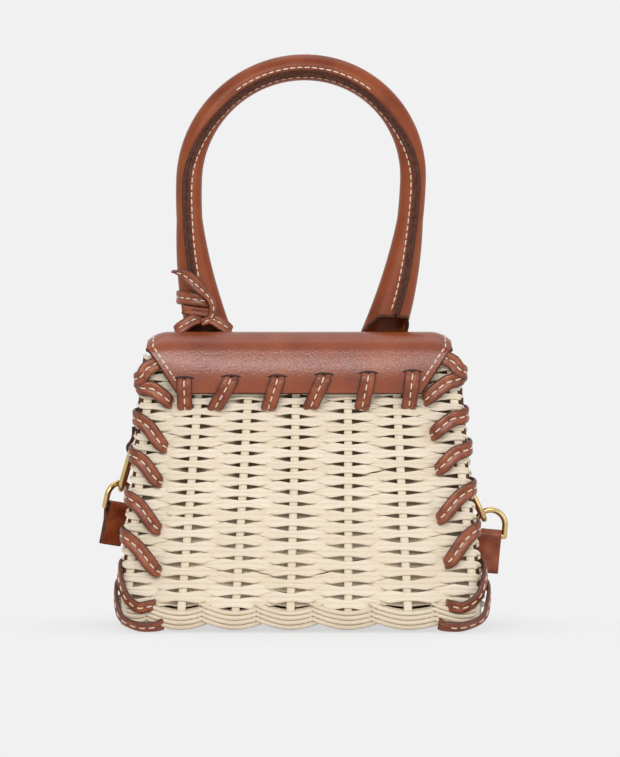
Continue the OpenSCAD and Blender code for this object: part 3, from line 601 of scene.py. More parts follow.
FOLD_LOW, FOLD_POWER = 8.0, 0.6
GUSSET_LOW, GUSSET_BEHIND_REED, GUSSET_SET_BACK = 3.0, 3.0, 0.25
GUSSET_DIP, GUSSET_DIP_SHARE, GUSSET_DIP_SLANT = 6.0, 0.72, 0.15
CURL, CURL_FROM, CURL_OVER = 1.9, 0.2, 0.5
CURL_FADE, CURL_FADE_Z, CURL_FADE_H = 0.5, 60.0, 35.0
FOOT_TUCK, FOOT_TUCK_Z, FOOT_TUCK_H = 6.0, 14.0, 11.0
RIPPLE_OUT, RIPPLE_Z, RIPPLE_Y, RIPPLE_EDGE = 0.108, 9.0, 7.0, 8


def gusset_edge(z):
    """Outer face of the gusset leather beside the ends of the panels."""
    return half_w(z) + SEAT_GAP + GUSSET_T


def fold_at(z, y, fold):
    """Inward fold: grows with a power of the height and dies out smoothly towards both panels."""
    reach = half_d(z) - WICKER_T - 2 * SEAT_GAP
    rise = np.clip((z - FOLD_LOW) / (RIM_H - FOLD_LOW), 0, 1) ** FOLD_POWER
    return fold * rise * np.clip(1 - (y / reach) ** 2, 0, 1) ** 2


def make_gusset(name, fold, side):
    """Side wall: a leather sheet from floor to rim that folds inwards towards its top, its rims curled in
    behind the reed and its foot drawn in under the floor."""
    level, a = np.meshgrid(close_rows(40, 0.0, 1.0, lip=0.006), close_rows(49, lip=0.008) * side,
                           indexing="ij")
    dip = np.clip(1 - (a / GUSSET_DIP_SHARE) ** 2, 0, 1) * (1 - GUSSET_DIP_SLANT * np.abs(a))
    z = GUSSET_LOW + (RIM_H - SEAT_GAP - GUSSET_DIP * dip - GUSSET_LOW) * level
    y = a * (half_d(z) - GUSSET_BEHIND_REED)
    curl = CURL * ease((np.abs(a) - CURL_FROM) / CURL_OVER)
    curl = curl * (1 - CURL_FADE * ease((z - CURL_FADE_Z) / CURL_FADE_H))
    foot = FOOT_TUCK * np.clip((FOOT_TUCK_Z - z) / FOOT_TUCK_H, 0, 1) ** 2
    ripple = RIPPLE_OUT * np.sin(z / RIPPLE_Z + y / RIPPLE_Y)
    ripple = ripple * np.clip(1 - (y / (half_d(z) - RIPPLE_EDGE)) ** 2, 0, 1)
    x = gusset_edge(z) - fold_at(z, y, fold) - GUSSET_SET_BACK - curl - foot - ripple
    points, polygons, paint = slab(np.stack([x * side, y, z], axis=-1), GUSSET_T)
    put_mesh(name + "_leather", points, polygons, [FLAP_LEATHER, EDGE], "bag", "leather",
             face_material=paint, stands_for=[name])


LINING_T, LINING_GAP, LINING_END_GAP = 0.8, 0.25, 13.0
LINING_FLOOR, LINING_UNDER, UNDER_ROUND = 9.0, 8.2, 0.2
LINING_HEM, HEM_ROUND = 112.0, 0.4
FLOOR_RINGS, WALL_RINGS, RING_STEPS, UNDER_START = 6, 26, 96, 0.98
CORNER_POWER = 0.22
SAG, SAG_WAVES, SAG_SLANT, SAG_LOW, SAG_HIGH = 0.35, 9, 15, 12, 108
END_SAG, SIDE_SAG = 0.004, 0.5


def make_lining():
    """Cloth bag: oblong rings that run out over the floor, up the wall, over the hem and down outside. A ring
    is a cosine and a sine raised to a low power, which squares its corners."""
    z = np.concatenate([np.full(FLOOR_RINGS - 1, LINING_FLOOR),
                        np.linspace(LINING_FLOOR, LINING_HEM - HEM_ROUND, WALL_RINGS),
                        np.full(2, LINING_HEM),
                        np.linspace(LINING_HEM - HEM_ROUND, LINING_UNDER + UNDER_ROUND, WALL_RINGS - 1),
                        np.full(FLOOR_RINGS, LINING_UNDER)])[:, None]
    count = len(z)
    size = np.concatenate([np.linspace(0, 1, FLOOR_RINGS), np.ones(count - 2 * FLOOR_RINGS),
                           np.linspace(UNDER_START, 0, FLOOR_RINGS)])[:, None]
    inset = np.where(np.arange(count) < count / 2, LINING_T, 0.0)[:, None]
    turn = np.linspace(0, 2 * np.pi, RING_STEPS + 1)[:-1]
    squared = lambda f: np.sign(f) * np.abs(f) ** CORNER_POWER
    x = (half_w(z) - LINING_END_GAP - inset) * size * squared(np.cos(turn))
    y = (half_d(z) - WICKER_T - LINING_GAP - inset) * size * squared(np.sin(turn))
    sag = np.abs(SAG * np.sin(turn * SAG_WAVES + z / SAG_SLANT) * (z > SAG_LOW) * (z < SAG_HIGH))
    rings = np.stack([x * (1 - END_SAG * sag), y - np.sign(y) * sag * SIDE_SAG, z + 0 * x], axis=-1)
    faces = grid_faces(count, RING_STEPS, around=True, flip=True)
    bag = put_mesh("lining_bag", rings, [faces], [LINING], "bag", "lining", stands_for=["lining"])


# Flap

BACK_OUTER, FRONT_OUTER = FLAP_GAP + FLAP_T, FRONT_GAP + FLAP_T
BACK_BEND_Y = -half_d(BEND_Z) + LEAN_M * (BEND_R - FLAP_GAP - FLAP_T)
FRONT_BEND_Y = half_d(BEND_Z) - LEAN_M * (BEND_R - FRONT_GAP - FLAP_T)
BACK_DROP_Z, FRONT_DROP_Z = 99.6, 70.0
FLAP_HALF_W, FLAP_SHIFT = 64.0, -0.7
BACK_LOW_HALF_W, BACK_TAPER = 50.2, 13.8
BACK_TAPER_Z, BACK_TAPER_H, BACK_TAPER_TOP = 98.6, 20.8, 119.4
FRONT_CORNER_X, FRONT_CORNER_Z, FRONT_CORNER_R, FRONT_TAPER = 41.0, 82.0, 12.0, 11.0
BACK_SWELL, FRONT_SWELL, SWELL_RISE, SWELL_FADE = 0.9, 0.25, 2.5, 0.5
DROOP, DROOP_SHARE, DROOP_POWER, DROOP_Z = 3.6, 0.86, 2.2, 116.0
BACK_STEPS, BEND_STEPS, TOP_STEPS, FRONT_STEPS = 12, 22, 12, 26
LIP = 0.1


def bend(middle_y, start, end):
    """A round bend of the flap in Y and Z between two angles, without its first point."""
    arc = np.linspace(start, end, BEND_STEPS)[1:]
    return np.stack([middle_y + BEND_R * np.cos(arc), BEND_Z + BEND_R * np.sin(arc)], axis=1)


def flap_section():
    """Outer line of the flap in Y and Z: up the back, over two round bends and down the front."""
    bend_end = BEND_Z + BEND_R * np.sin(LEAN)
    back = np.linspace(BACK_DROP_Z, bend_end, BACK_STEPS)
    back = np.stack([-half_d(back) - BACK_OUTER * LEAN_M, back], axis=1)
    back_lip = back[:1] * (1 - LIP) + back[1:2] * LIP
    back_bend = bend(BACK_BEND_Y, np.pi - LEAN, np.pi / 2)
    top = np.linspace(BACK_BEND_Y, FRONT_BEND_Y, TOP_STEPS)[1:]
    top = np.stack([top, np.full(len(top), FLAP_TOP)], axis=1)
    front_bend = bend(FRONT_BEND_Y, np.pi / 2, LEAN)
    front = np.linspace(bend_end, FRONT_DROP_Z, FRONT_STEPS)[1:]
    front = np.stack([half_d(front) + FRONT_OUTER * LEAN_M, front], axis=1)
    front_lip = front[-1:] * (1 - LIP) + front[-2:-1] * LIP
    return np.concatenate([back[:1], back_lip, back[1:], back_bend, top, front_bend,
                           front[:-1], front_lip, front[-1:]])


def flap_half_width(line):
    """Half width: tapers down the back, full over the top, tapers straight and then rounds down the front."""
    y, z = line[:, 0], line[:, 1]
    back = BACK_LOW_HALF_W + (z - BACK_TAPER_Z) / BACK_TAPER_H * BACK_TAPER
    back = np.where(z < BACK_TAPER_TOP, back, FLAP_HALF_W)
    front = FRONT_CORNER_X + FRONT_CORNER_R + (z - FRONT_CORNER_Z) / (BEND_Z - FRONT_CORNER_Z) * FRONT_TAPER
    front = np.where(z < BEND_Z, front, FLAP_HALF_W)
    corner = FRONT_CORNER_X + np.sqrt(np.maximum(FRONT_CORNER_R**2 - (FRONT_CORNER_Z - z) ** 2, 0.0))
    return np.where(y < 0, back, np.where(z < FRONT_CORNER_Z, corner, front))


def flap_swell(y, z):
    """How far the flap's hanging faces stand out: half a sine wave from the lower edge to the bend."""
    low = np.where(y < 0, BACK_DROP_Z, FRONT_DROP_Z)
    full = np.where(y < 0, BACK_SWELL, FRONT_SWELL)
    return full * np.sin(np.pi * np.clip((z - low) / (BEND_Z + SWELL_RISE - low), 0, 1))


def flap_grid(line, shares):
    """Outer face of the flap: the section spread across its half width, its hanging faces a little full and
    its top drooping towards both side edges by a power of the share."""
    x = flap_half_width(line)[:, None] * shares + FLAP_SHIFT
    y = line[:, 0:1] + 0 * x
    z = line[:, 1:2] + 0 * x
    reach = np.clip((np.abs(shares) - DROOP_SHARE) / (1 - DROOP_SHARE), 0, 1) ** DROOP_POWER
    droop = DROOP * reach * ease((z - DROOP_Z) / (FLAP_TOP - DROOP_Z))
    swell = flap_swell(y, z) * (1 - SWELL_FADE * shares**4)
    return np.stack([x, y + np.sign(y) * swell, z - droop], axis=-1)


def make_flap():
    """Flap leather: one sheet that curves over its top across the hinge line, with painted edges."""
    grid = flap_grid(flap_section(), close_rows(61, lip=0.004)[None])
    points, polygons, paint = slab(grid, FLAP_T, swell=0.28)
    piece = put_mesh("flap_leather_sheet", points, polygons, [FLAP_LEATHER, EDGE], None, "leather",
                     face_material=paint, stands_for=["flap_back", "flap"])
    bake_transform(piece)


# Stitches and thongs

STITCH_DIP, STITCH_END_GAP, STITCH_SIDES = 0.5, 0.2, 6
STITCH_THIN = np.array([0.55, 0.95, 1.0, 1.0, 0.95, 0.55])
THONG = np.array([[-3.2, 0.0], [-3.05, 0.5], [-2.5, 0.86], [-1.5, 0.92], [-0.7, 0.74], [0.0, 0.5],
                  [0.7, 0.74], [1.5, 0.92], [2.5, 0.86], [3.05, 0.5], [3.2, 0.0], [3.0, -0.6], [0.0, -0.75],
                  [-3.0, -0.6]])
# Edge mark round the thong's profile: 1 on its dark worn edges, and painted shade in the stitched groove and
# underneath
THONG_EDGE_AND_SHADE = 0.9 * np.array([1, 0.95, 0.3, 0, 0.1, 0.55, 0.1, 0, 0.3, 0.95, 1, 1, 0.7, 1])
THONG_STEPS = 34
THONG_RISE, THONG_SUNK = 0.72, 1.5


def stitch_runs(path, normal, first, length, gap, count, lift):
    """Centres and normals of straight stitches set along a path, each a short run that dips at both ends."""
    run = run_length(path)
    begin = first + (length + gap) * np.arange(count)
    begin = begin[begin + length <= run[-1] - STITCH_END_GAP]
    t = np.linspace(0, 1, len(STITCH_THIN))
    s = begin[:, None] + length * t[None]
    out = unit(at_run(s, run, normal))
    arch = lift - STITCH_DIP * (2 * t - 1) ** 4
    return at_run(s, run, path) + out * arch[None, :, None], out


def stitch_mesh(groups, radius=0.32):
    """Stitches as slim rounded bars, thinner towards their ends."""
    centres, normals = [np.concatenate(g) for g in zip(*groups)]
    return tubes(centres, normals, circle(STITCH_SIDES), STITCH_THIN * radius, STITCH_THIN * radius)


def put_stitches(name, groups, body, radius=0.32):
    """A row of stitches as one piece that rides with its leather."""
    put_mesh(name, *stitch_mesh(groups, radius), [THREAD], body, "leather")


def thong_mesh(paths, wide):
    """Flat thongs with a stitched groove: a profile carried along each path, with a mark for their dark worn
    edges and for painted shade in the groove and underneath.
    """
    centres, normals = [np.stack(p) for p in zip(*paths)]
    points, polygons = tubes(centres, normals, THONG, wide)
    return points, polygons, {"edge": np.tile(THONG_EDGE_AND_SHADE, len(points) // len(THONG))}


def thong_path(knots, normals):
    """The path of a thong through its knots, and its outward directions, in equal steps."""
    return even_path(through(knots, 90), unit(through(normals, 90)), THONG_STEPS)


def side_thong(z0, x1, z1):
    """A side stitch: from the gusset round the panel's edge, down over the reed and in between two rows."""
    edge, y0, y1 = gusset_edge(z0) - THONG_SUNK, -half_d(z0), -half_d(z1)
    zm = z0 + (z1 - z0) * 0.5
    xm = edge + (x1 - edge) * 0.45
    return thong_path(
        [[edge - 0.8, y0 + 8.2, z0 + 2.6], [edge + 0.95, y0 + 6.0, z0 + 2.0], [edge + 1, y0 + 2.4, z0 + 0.9],
         [edge - 1.4, y0 - 0.9, z0 - 0.2], [xm, -half_d(zm) - 1.15, zm + 2.3], [x1 + 1.6, y1 - 1.0, z1 + 1.5],
         [x1 - 0.4, y1 + 0.5, z1 - 0.4], [x1 - 0.9, y1 + 3.2, z1 - 1.0]],
        [[1, 0.3, 0], [1, 0, 0], [1, -0.25, 0], [0.5, -0.85, 0], [0.05, -1, 0.1], [-0.1, -1, 0.1],
         [-0.6, -0.8, -0.1], [-0.95, -0.3, -0.2]])


def top_thong(z0, x1, z1):
    """The highest stitch, which rises from the panel's edge and slips under the flap."""
    edge, y0, y1 = gusset_edge(z0), -half_d(z0), -half_d(z1)
    return thong_path(
        [[edge - 0.8, y0 + 7.2, z0 - 1.6], [edge + 0.9, y0 + 4.6, z0 - 1.2], [edge + 0.6, y0 + 1.4, z0 - 0.4],
         [edge - 2.0, y0 - 1.5, z0 + 0.9], [(edge + x1) / 2, y1 - 1.7, (z0 + z1) / 2 + 0.8],
         [x1, y1 - 1.0, z1], [x1 - 3, y1 + 0.6, z1 + 2.2]],
        [[1, 0.2, 0], [1, 0, 0], [1, -0.4, 0], [0.4, -0.9, 0], [0, -1, 0.1], [0, -1, 0.1], [0, -1, 0.1]])


def foot_thongs(pull):
    """The two slim stitches that gather at a lower corner; pull sets how far they stand out."""
    upper = thong_path(
        [[73.6, -25.0, 28.5], [75.3 + pull, -28.0, 27.5], [74.9 + pull, -33.0, 21.5],
         [72.4 + pull, -35.0, 15.0], [67.8, -35.4, 10.8], [63.0, -34.6, 11.2], [61.0, -31.5, 11.4]],
        [[1, 0, 0], [1, -0.1, 0], [0.9, -0.5, -0.1], [0.75, -0.6, -0.35], [0.35, -0.85, -0.4], [0, -1, -0.3],
         [-0.9, -0.4, 0]])
    lower = thong_path(
        [[75.0, -23.5, 20.5], [76.9 + pull, -27.5, 19.0], [76.5 + pull, -33.5, 13.0],
         [74.2 + pull, -36.0, 6.4], [67.6, -36.2, 2.9], [60.5, -35.4, 2.8], [57.6, -33.0, 3.6]],
        [[1, 0, 0], [1, -0.1, 0], [0.95, -0.35, -0.2], [0.7, -0.5, -0.55], [0.25, -0.7, -0.7],
         [0, -0.8, -0.6], [-0.9, -0.4, 0]])
    return [upper, lower]


# Each side: its sign, how far its foot stitches stand out, its top stitch, and its side stitches downwards.
# A stitch gives the height at the edge, then the place and height where it goes in.
SIDES = {
    "left": (-1, 0.0, (105.6, 60.4, 112.0),
             [(101.7, 55.4, 96.0), (88.3, 57.5, 77.5), (72.9, 59.6, 62.9), (55.4, 60.0, 43.3),
              (39.2, 60.0, 25.8)]),
    "right": (1, 1.2, (108.5, 59.0, 115.0),
              [(105.4, 52.9, 97.1), (89.6, 55.8, 82.6), (75.8, 57.9, 67.9), (59.2, 58.3, 47.5),
               (42.0, 61.2, 29.2)])}
THONG_TAIL, THONG_TAIL_FROM = 0.3, 0.72
THONG_HEAD, THONG_HEAD_TO = 0.12, 0.3
FOOT_THONG_WIDE = 0.8


def make_side_thongs():
    """Side lacing of both panels, left and right, with its cream stitching."""
    t = np.linspace(0, 1, THONG_STEPS)
    tail = THONG_TAIL * np.clip((t - THONG_TAIL_FROM) / (1 - THONG_TAIL_FROM), 0, 1) ** 2
    taper = 1.0 - tail - THONG_HEAD * np.clip(1 - t / THONG_HEAD_TO, 0, 1)
    for name, (side, pull, top, table) in SIDES.items():
        paths = [side_thong(*row) for row in table] + foot_thongs(pull) + [top_thong(*top)]
        wide = np.stack([taper] * len(table) + [0 * t + FOOT_THONG_WIDE] * 2 + [taper])
        points, polygons, marks = thong_mesh(paths, wide)
        thread, bars = stitch_mesh([stitch_runs(*p, first=1.6, length=3.0, gap=0.9, count=9, lift=THONG_RISE)
                                    for p in paths])
        if side < 0:
            points, polygons = mirrored(points, polygons, MIRROR_X)
            thread, bars = mirrored(thread, bars, MIRROR_X)
        for face in ("back", "front"):
            if face == "front":
                points, polygons = mirrored(points, polygons, MIRROR_Y)
                thread, bars = mirrored(thread, bars, MIRROR_Y)
            corner = face + "_" + name
            put_mesh(corner + "_thongs", points, polygons, [THONG_LEATHER], "bag", "leather", marks,
                     stands_for=[corner + "_lacing"])
            put_mesh(corner + "_thong_thread", thread, bars, [THREAD], "bag", "leather")


# Place and height of each flap stitch at its slot and where it goes in
FLAP_STITCHES = np.array([(-48.8, 104.2, -48.6, 93.4), (-29.2, 104.9, -36.0, 93.2),
                          (-9.8, 104.9, -13.6, 93.4), (9.6, 105.7, 4.0, 93.6), (28.2, 106.4, 25.6, 93.6),
                          (46.6, 107.0, 45.2, 93.8)])
FLAP_THONG_TAIL, FLAP_THONG_TAIL_FROM = 0.12, 0.85
SLOT_HALF_W, SLOT_HALF_H, SLOT_ABOVE, SLOT_BOW, SLOT_PROUD, SLOT_FLAT = 4.3, 0.62, 1.9, 0.5, 0.05, 0.6


def flap_thong(x0, z0, x1, z1):
    """A flap stitch: out of its slot, down over the painted edge on to the reed and in between two rows."""
    across = lambda z: x0 + (x1 - x0) * (z0 - z) / (z0 - z1)
    out = lambda z, d: -half_d(z) - d * LEAN_M - float(flap_swell(-1.0, z))
    on = lambda z, d: [across(z), out(z, d), z]
    drop, mid = BACK_DROP_Z, (z0 + BACK_DROP_Z) / 2 + 0.7
    return thong_path(
        [[x0, out(z0, 1.2), z0 + 1.2], [x0, out(z0, 3.2), z0 + 0.3], on(mid, 3.6), on(drop + 1, 3.5),
         on(drop - 1.6, 2.3), on(z1 + 1.4, 1.1), on(z1, -0.8), [across(z1 - 0.6), out(z1, -3.0), z1 - 0.6]],
        [[0, -0.5, 0.8], [0, -0.9, 0.4], [0, -1, 0.1], [0, -1, 0.05], [0, -0.95, -0.1], [0, -1, 0],
         [0, -0.7, -0.6], [0, -0.3, -0.95]])


def make_flap_thongs():
    """The stitches that lace the flap to the back panel, and dark bars of painted shade in the slots that
    they come out of.
    """
    paths = [flap_thong(*row) for row in FLAP_STITCHES]
    t = np.linspace(0, 1, THONG_STEPS)
    tail = np.clip((t - FLAP_THONG_TAIL_FROM) / (1 - FLAP_THONG_TAIL_FROM), 0, 1)
    points, polygons, marks = thong_mesh(paths, 1.0 - FLAP_THONG_TAIL * tail**2)
    put_mesh("flap_thongs", points, polygons, [THONG_LEATHER], "bag", "leather", marks,
             stands_for=["flap_lacing"])
    runs = [stitch_runs(*p, first=2.0, length=2.9, gap=0.9, count=6, lift=THONG_RISE) for p in paths]
    put_stitches("flap_thong_thread", runs, "bag", 0.3)
    # Painted shade: dark bars laid over the slots where the thongs come out, standing for the shade inside
    # them
    t = np.linspace(-1, 1, 12)
    x = FLAP_STITCHES[:, 0:1] + SLOT_HALF_W * t
    z = FLAP_STITCHES[:, 1:2] + SLOT_ABOVE - SLOT_BOW * t**2
    y = -half_d(z) - (BACK_OUTER + SLOT_PROUD) * LEAN_M - flap_swell(-1.0, z)
    thin = SLOT_HALF_H * np.sqrt(np.clip(1 - t**2, 0.02, 1))
    points, polygons = tubes(np.stack([x, y, z], axis=-1), PANEL_OUT, circle(6), thin, thin * SLOT_FLAT)
    put_mesh("flap_slot_shade", points, polygons, [SHADE], "bag", "leather")


EDGE_SEWING = {"length": 2.4, "gap": 0.5, "lift": 0.1}
SEAM_INSET, BACK_SEAM_Z = 2.7, 101.0


def flap_stitch_line(side, back):
    """Path of the sewing line inside a side edge of the flap, with its outward direction."""
    line = flap_section()
    share = side * (1 - SEAM_INSET / flap_half_width(line))[:, None] + np.array([[-0.01, 0.0, 0.01]])
    grid = flap_grid(line, share)
    path, normal = grid[:, 1], sheet_normal(grid)[:, 1]
    y, z = line[:, 0], line[:, 1]
    if back:
        keep = (y < HINGE_Y) & (z > BACK_SEAM_Z)
        return path[keep][::-1], normal[keep][::-1]
    keep = (y > HINGE_Y) & (z > FRONT_CORNER_Z)
    return path[keep], normal[keep]


def make_flap_stitching():
    """Cream sewing along the flap's side edges and round its front."""
    back = [stitch_runs(*flap_stitch_line(s, True), first=0.1, count=20, **EDGE_SEWING) for s in (-1, 1)]
    put_stitches("flap_back_thread", back, "bag")
    front = [stitch_runs(*flap_stitch_line(s, False), first=0.1, count=60, **EDGE_SEWING) for s in (-1, 1)]
    a = np.linspace(0, np.pi / 2, 14)
    r = FRONT_CORNER_R - SEAM_INSET
    right = np.stack([FRONT_CORNER_X + r * np.cos(a), FRONT_CORNER_Z - r * np.sin(a)], axis=1)
    x, z = np.concatenate([right, (right * np.array([-1, 1]))[::-1]]).T
    y = half_d(z) + FRONT_OUTER * LEAN_M
    path = np.stack([x + FLAP_SHIFT, y + flap_swell(y, z), z], axis=1)
    out = np.broadcast_to(FRONT_OUT, path.shape)
    front.append(stitch_runs(path, out, first=0.4, count=60, **EDGE_SEWING))
    put_stitches("flap_front_thread", front, "lid")


# Handle

BOW_Z, BOW_R, LEG_R, HANDLE_D = 190.85, 47.9, 205.0, 11.1
BOW_TOP = BOW_Z + BOW_R
FOOT_BOTTOM = FLAP_TOP + SEAT_GAP
FOOT_H, FOOT_W, FOOT_D = 48.0, 20.0, 14.0
SWAY, BOW_SHIFT = 3.6, 1.5
ROLL_T, SEAM_HALF, FLANGE, ARCH_H = 1.65, 1.7, 1.15, 7.4
ARCH_OPEN, ARCH_RIM_H, ARCH_RIM_R, ARCH_RIM_PROUD = 0.95, 7.3, 0.8, 0.2
LEG_CROWD = 1.35
SEWING_OFF, SEWING_FOOT_H, SECOND_SEWING_Z = 2.2, 7, 228
# Turn of the seam round the tube, in radians: on each leg, more low on the right leg, and over the bow
SEAM_LEFT, SEAM_RIGHT, SEAM_RIGHT_LOW, SEAM_BOW = 0.15, 0.25, 0.1, 0.52
SEAM_BOW_Z, SEAM_BOW_H, SEAM_LOW_Z, SEAM_LOW_H = 185.0, 42.0, 170.0, 30.0


def leg_turn(z):
    """How far a leg has turned in from upright at height z, along the circle that it follows."""
    return np.arcsin((BOW_Z - z) / LEG_R)


def leg_x(z):
    """Distance of a leg from the middle: the bow's radius less the rise of the leg's circle."""
    return BOW_R - LEG_R * (1 - np.cos(leg_turn(z)))


def handle_shift(z):
    """Sideways lean of the handle: straight from its feet to the top of its bow."""
    return BOW_SHIFT - SWAY * (BOW_TOP - z) / (BOW_TOP - FOOT_BOTTOM)


def handle_path(n_leg=46, n_bow=60):
    """Middle line of the handle, its outward direction and its flare: two legs on wide circles and a
    half-round bow, leaning a little."""
    leg = FOOT_BOTTOM + (BOW_Z - FOOT_BOTTOM) * np.linspace(0, 1, n_leg) ** LEG_CROWD
    turn = np.linspace(np.pi, 0, n_bow)[1:-1]
    x = np.concatenate([-leg_x(leg), BOW_R * np.cos(turn), leg_x(leg)[::-1]])
    z = np.concatenate([leg, BOW_Z + BOW_R * np.sin(turn), leg[::-1]])
    flare = np.clip(1 - (z - FOOT_BOTTOM) / FOOT_H, 0, 1)
    down = leg_turn(leg) * (1 - flare[:n_leg])
    out_x = np.concatenate([-np.cos(down), np.cos(turn), np.cos(down)[::-1]])
    out_z = np.concatenate([-np.sin(down), np.sin(turn), -np.sin(down)[::-1]])
    return np.stack([x + handle_shift(z), 0 * x, z], axis=1), np.stack([out_x, 0 * x, out_z], axis=1), flare


def seam_shift(centres):
    """How far the seam sits from the middle of the tube: outwards on the legs, inwards over the bow."""
    x, z = centres[:, 0], centres[:, 2]
    bow = ease((z - SEAM_BOW_Z) / SEAM_BOW_H)
    right = SEAM_RIGHT + SEAM_RIGHT_LOW * ease((SEAM_LOW_Z - z) / SEAM_LOW_H)
    return np.where(x < 0, SEAM_LEFT, right) * (1 - bow) - SEAM_BOW * bow


def handle_section(share, centres, out, flare):
    """Points round the rolled leather: a circle whose two ends turn out into a flange, opened to an arch at
    the feet. Also gives the directions to the seam and beside it, and the two radii."""
    shift = seam_shift(centres)
    c, s = np.cos(shift)[:, None], np.sin(shift)[:, None]
    b = c * BACK + s * out
    o = -s * BACK + c * out
    ra = HANDLE_D / 2 + (FOOT_W - HANDLE_D) / 2 * flare
    rb = HANDLE_D / 2 + (FOOT_D - HANDLE_D) / 2 * flare
    arch = np.sqrt(np.clip(1 - ((centres[:, 2] - FOOT_BOTTOM) / ARCH_H) ** 2, 0, 1))
    gap = np.arcsin(SEAM_HALF / ra + (ARCH_OPEN - SEAM_HALF / ra) * arch)
    phi = gap[:, None] + (2 * np.pi - 2 * gap[:, None]) * share[None]
    ring = (centres[:, None] + b[:, None] * (rb[:, None] * np.cos(phi))[..., None]
            + o[:, None] * (ra[:, None] * np.sin(phi))[..., None])
    tip = (b * (FLANGE * (1 - ease(arch * 4)))[:, None])[:, None]
    return np.concatenate([ring[:, :1] + tip, ring, ring[:, -1:] + tip], axis=1), b, o, ra, rb


def make_handle():
    """Rolled handle: a leather sheet wrapped into a tube, its two painted edges side by side along the back,
    sewn beside them, with a dark rim round the arch of each foot."""
    centres, out, flare = handle_path()
    grid, b, o, ra, rb = handle_section(np.linspace(0, 1, 41), centres, out, flare)
    points, polygons, paint = slab(grid[:, ::-1], ROLL_T, swell=0.04)
    put_mesh("handle_leather_roll", points, polygons, [HANDLE_LEATHER, EDGE], "lid", "leather",
             face_material=paint, stands_for=["handle"])
    x, z = centres[:, 0], centres[:, 2]
    sewn = z > FOOT_BOTTOM + SEWING_FOOT_H
    groups = []
    for sign, mask in ((-1, sewn), (1, sewn & (z > SECOND_SEWING_Z))):
        phi = sign * SEWING_OFF / ra
        path = centres + b * (rb * np.cos(phi))[:, None] + o * (ra * np.sin(phi))[:, None]
        normal = unit(b * np.cos(phi)[:, None] + o * np.sin(phi)[:, None])
        groups.append(stitch_runs(path[mask], normal[mask], first=0.5, length=2.6, gap=0.5, count=140,
                                  lift=0.16))
    put_stitches("handle_thread", groups, "lid", 0.3)
    low = np.flatnonzero(z < FOOT_BOTTOM + ARCH_RIM_H)
    rims = [np.concatenate([grid[k, 0], grid[k[::-1], -1]]) + BACK * ARCH_RIM_PROUD
            for k in (low[x[low] < 0], low[x[low] > 0][::-1])]
    rims = np.stack([even_path(through(r, 60), np.broadcast_to(BACK, (60, 3)), 40)[0] for r in rims])
    points, polygons = tubes(rims, BACK, circle(8), ARCH_RIM_R, ARCH_RIM_R)
    put_mesh("foot_edges", points, polygons, [EDGE], "lid", "leather")


TIE_RISE, TIE_STEPS = 14.2, 40
WRAP_HALF_W, WRAP_HALF_D, WRAP_DROP, WRAP_SLANT = 9.5, 7.5, 0.9, 1.5
WRAP_FROM, WRAP_TO, WRAP_SINK, WRAP_SINK_FROM = -62.0, -328.0, 0.12, 0.85
WRAP_WIDE, KNOT_WIDE, END_WIDE, END_WIDER = 0.92, 0.62, 0.76, 0.2
TAIL_TIP, TAIL_WIDER, TAIL_SLIM = 0.14, 0.78, 0.38
# Knots and outward directions of the tie's strips, from the middle of the leg: the tail, the strip over the
# knot and the two ends on the flap
TIE_STRIPS = [
    ([[-11.7, -7.6, 11.4], [-7.4, -8.9, 10.3], [-2.6, -9.5, 6.7], [1.6, -9.8, 2.6], [4.8, -9.6, -1.2],
      [5.7, -9.3, -5.4], [4.3, -9.2, -8.9], [0.6, -8.8, -10.4]],
     [[-0.3, -0.85, -0.5], [-0.2, -0.9, -0.4], [0, -1, -0.1], [0.2, -1, 0.1], [0.45, -0.9, 0.1],
      [0.45, -0.9, 0], [0.3, -1, -0.1], [0, -1, -0.2]]),
    ([[5.0, -7.9, -6.2], [1.0, -8.6, -6.0], [-3.2, -8.3, -5.4], [-7.2, -6.2, -4.8]],
     [[0.2, -1, 0], [0, -1, 0], [-0.3, -0.95, 0], [-0.7, -0.7, 0]]),
    ([[0.6, -8.0, -8.2], [-3.4, -9.1, -9.8], [-6.8, -9.5, -11.9], [-8.9, -9.3, -13.2], [-10.4, -8.9, -14.0]],
     [[0, -1, 0.1], [-0.1, -1, 0.2], [-0.2, -0.95, 0.3], [-0.25, -0.85, 0.5], [-0.3, -0.7, 0.7]]),
    ([[2.6, -8.2, -8.0], [6.6, -9.0, -9.6], [10.0, -9.4, -11.7], [12.0, -9.2, -13.1], [13.4, -8.8, -14.0]],
     [[0, -1, 0.1], [0.1, -1, 0.2], [0.2, -0.95, 0.3], [0.25, -0.85, 0.5], [0.3, -0.7, 0.7]])]


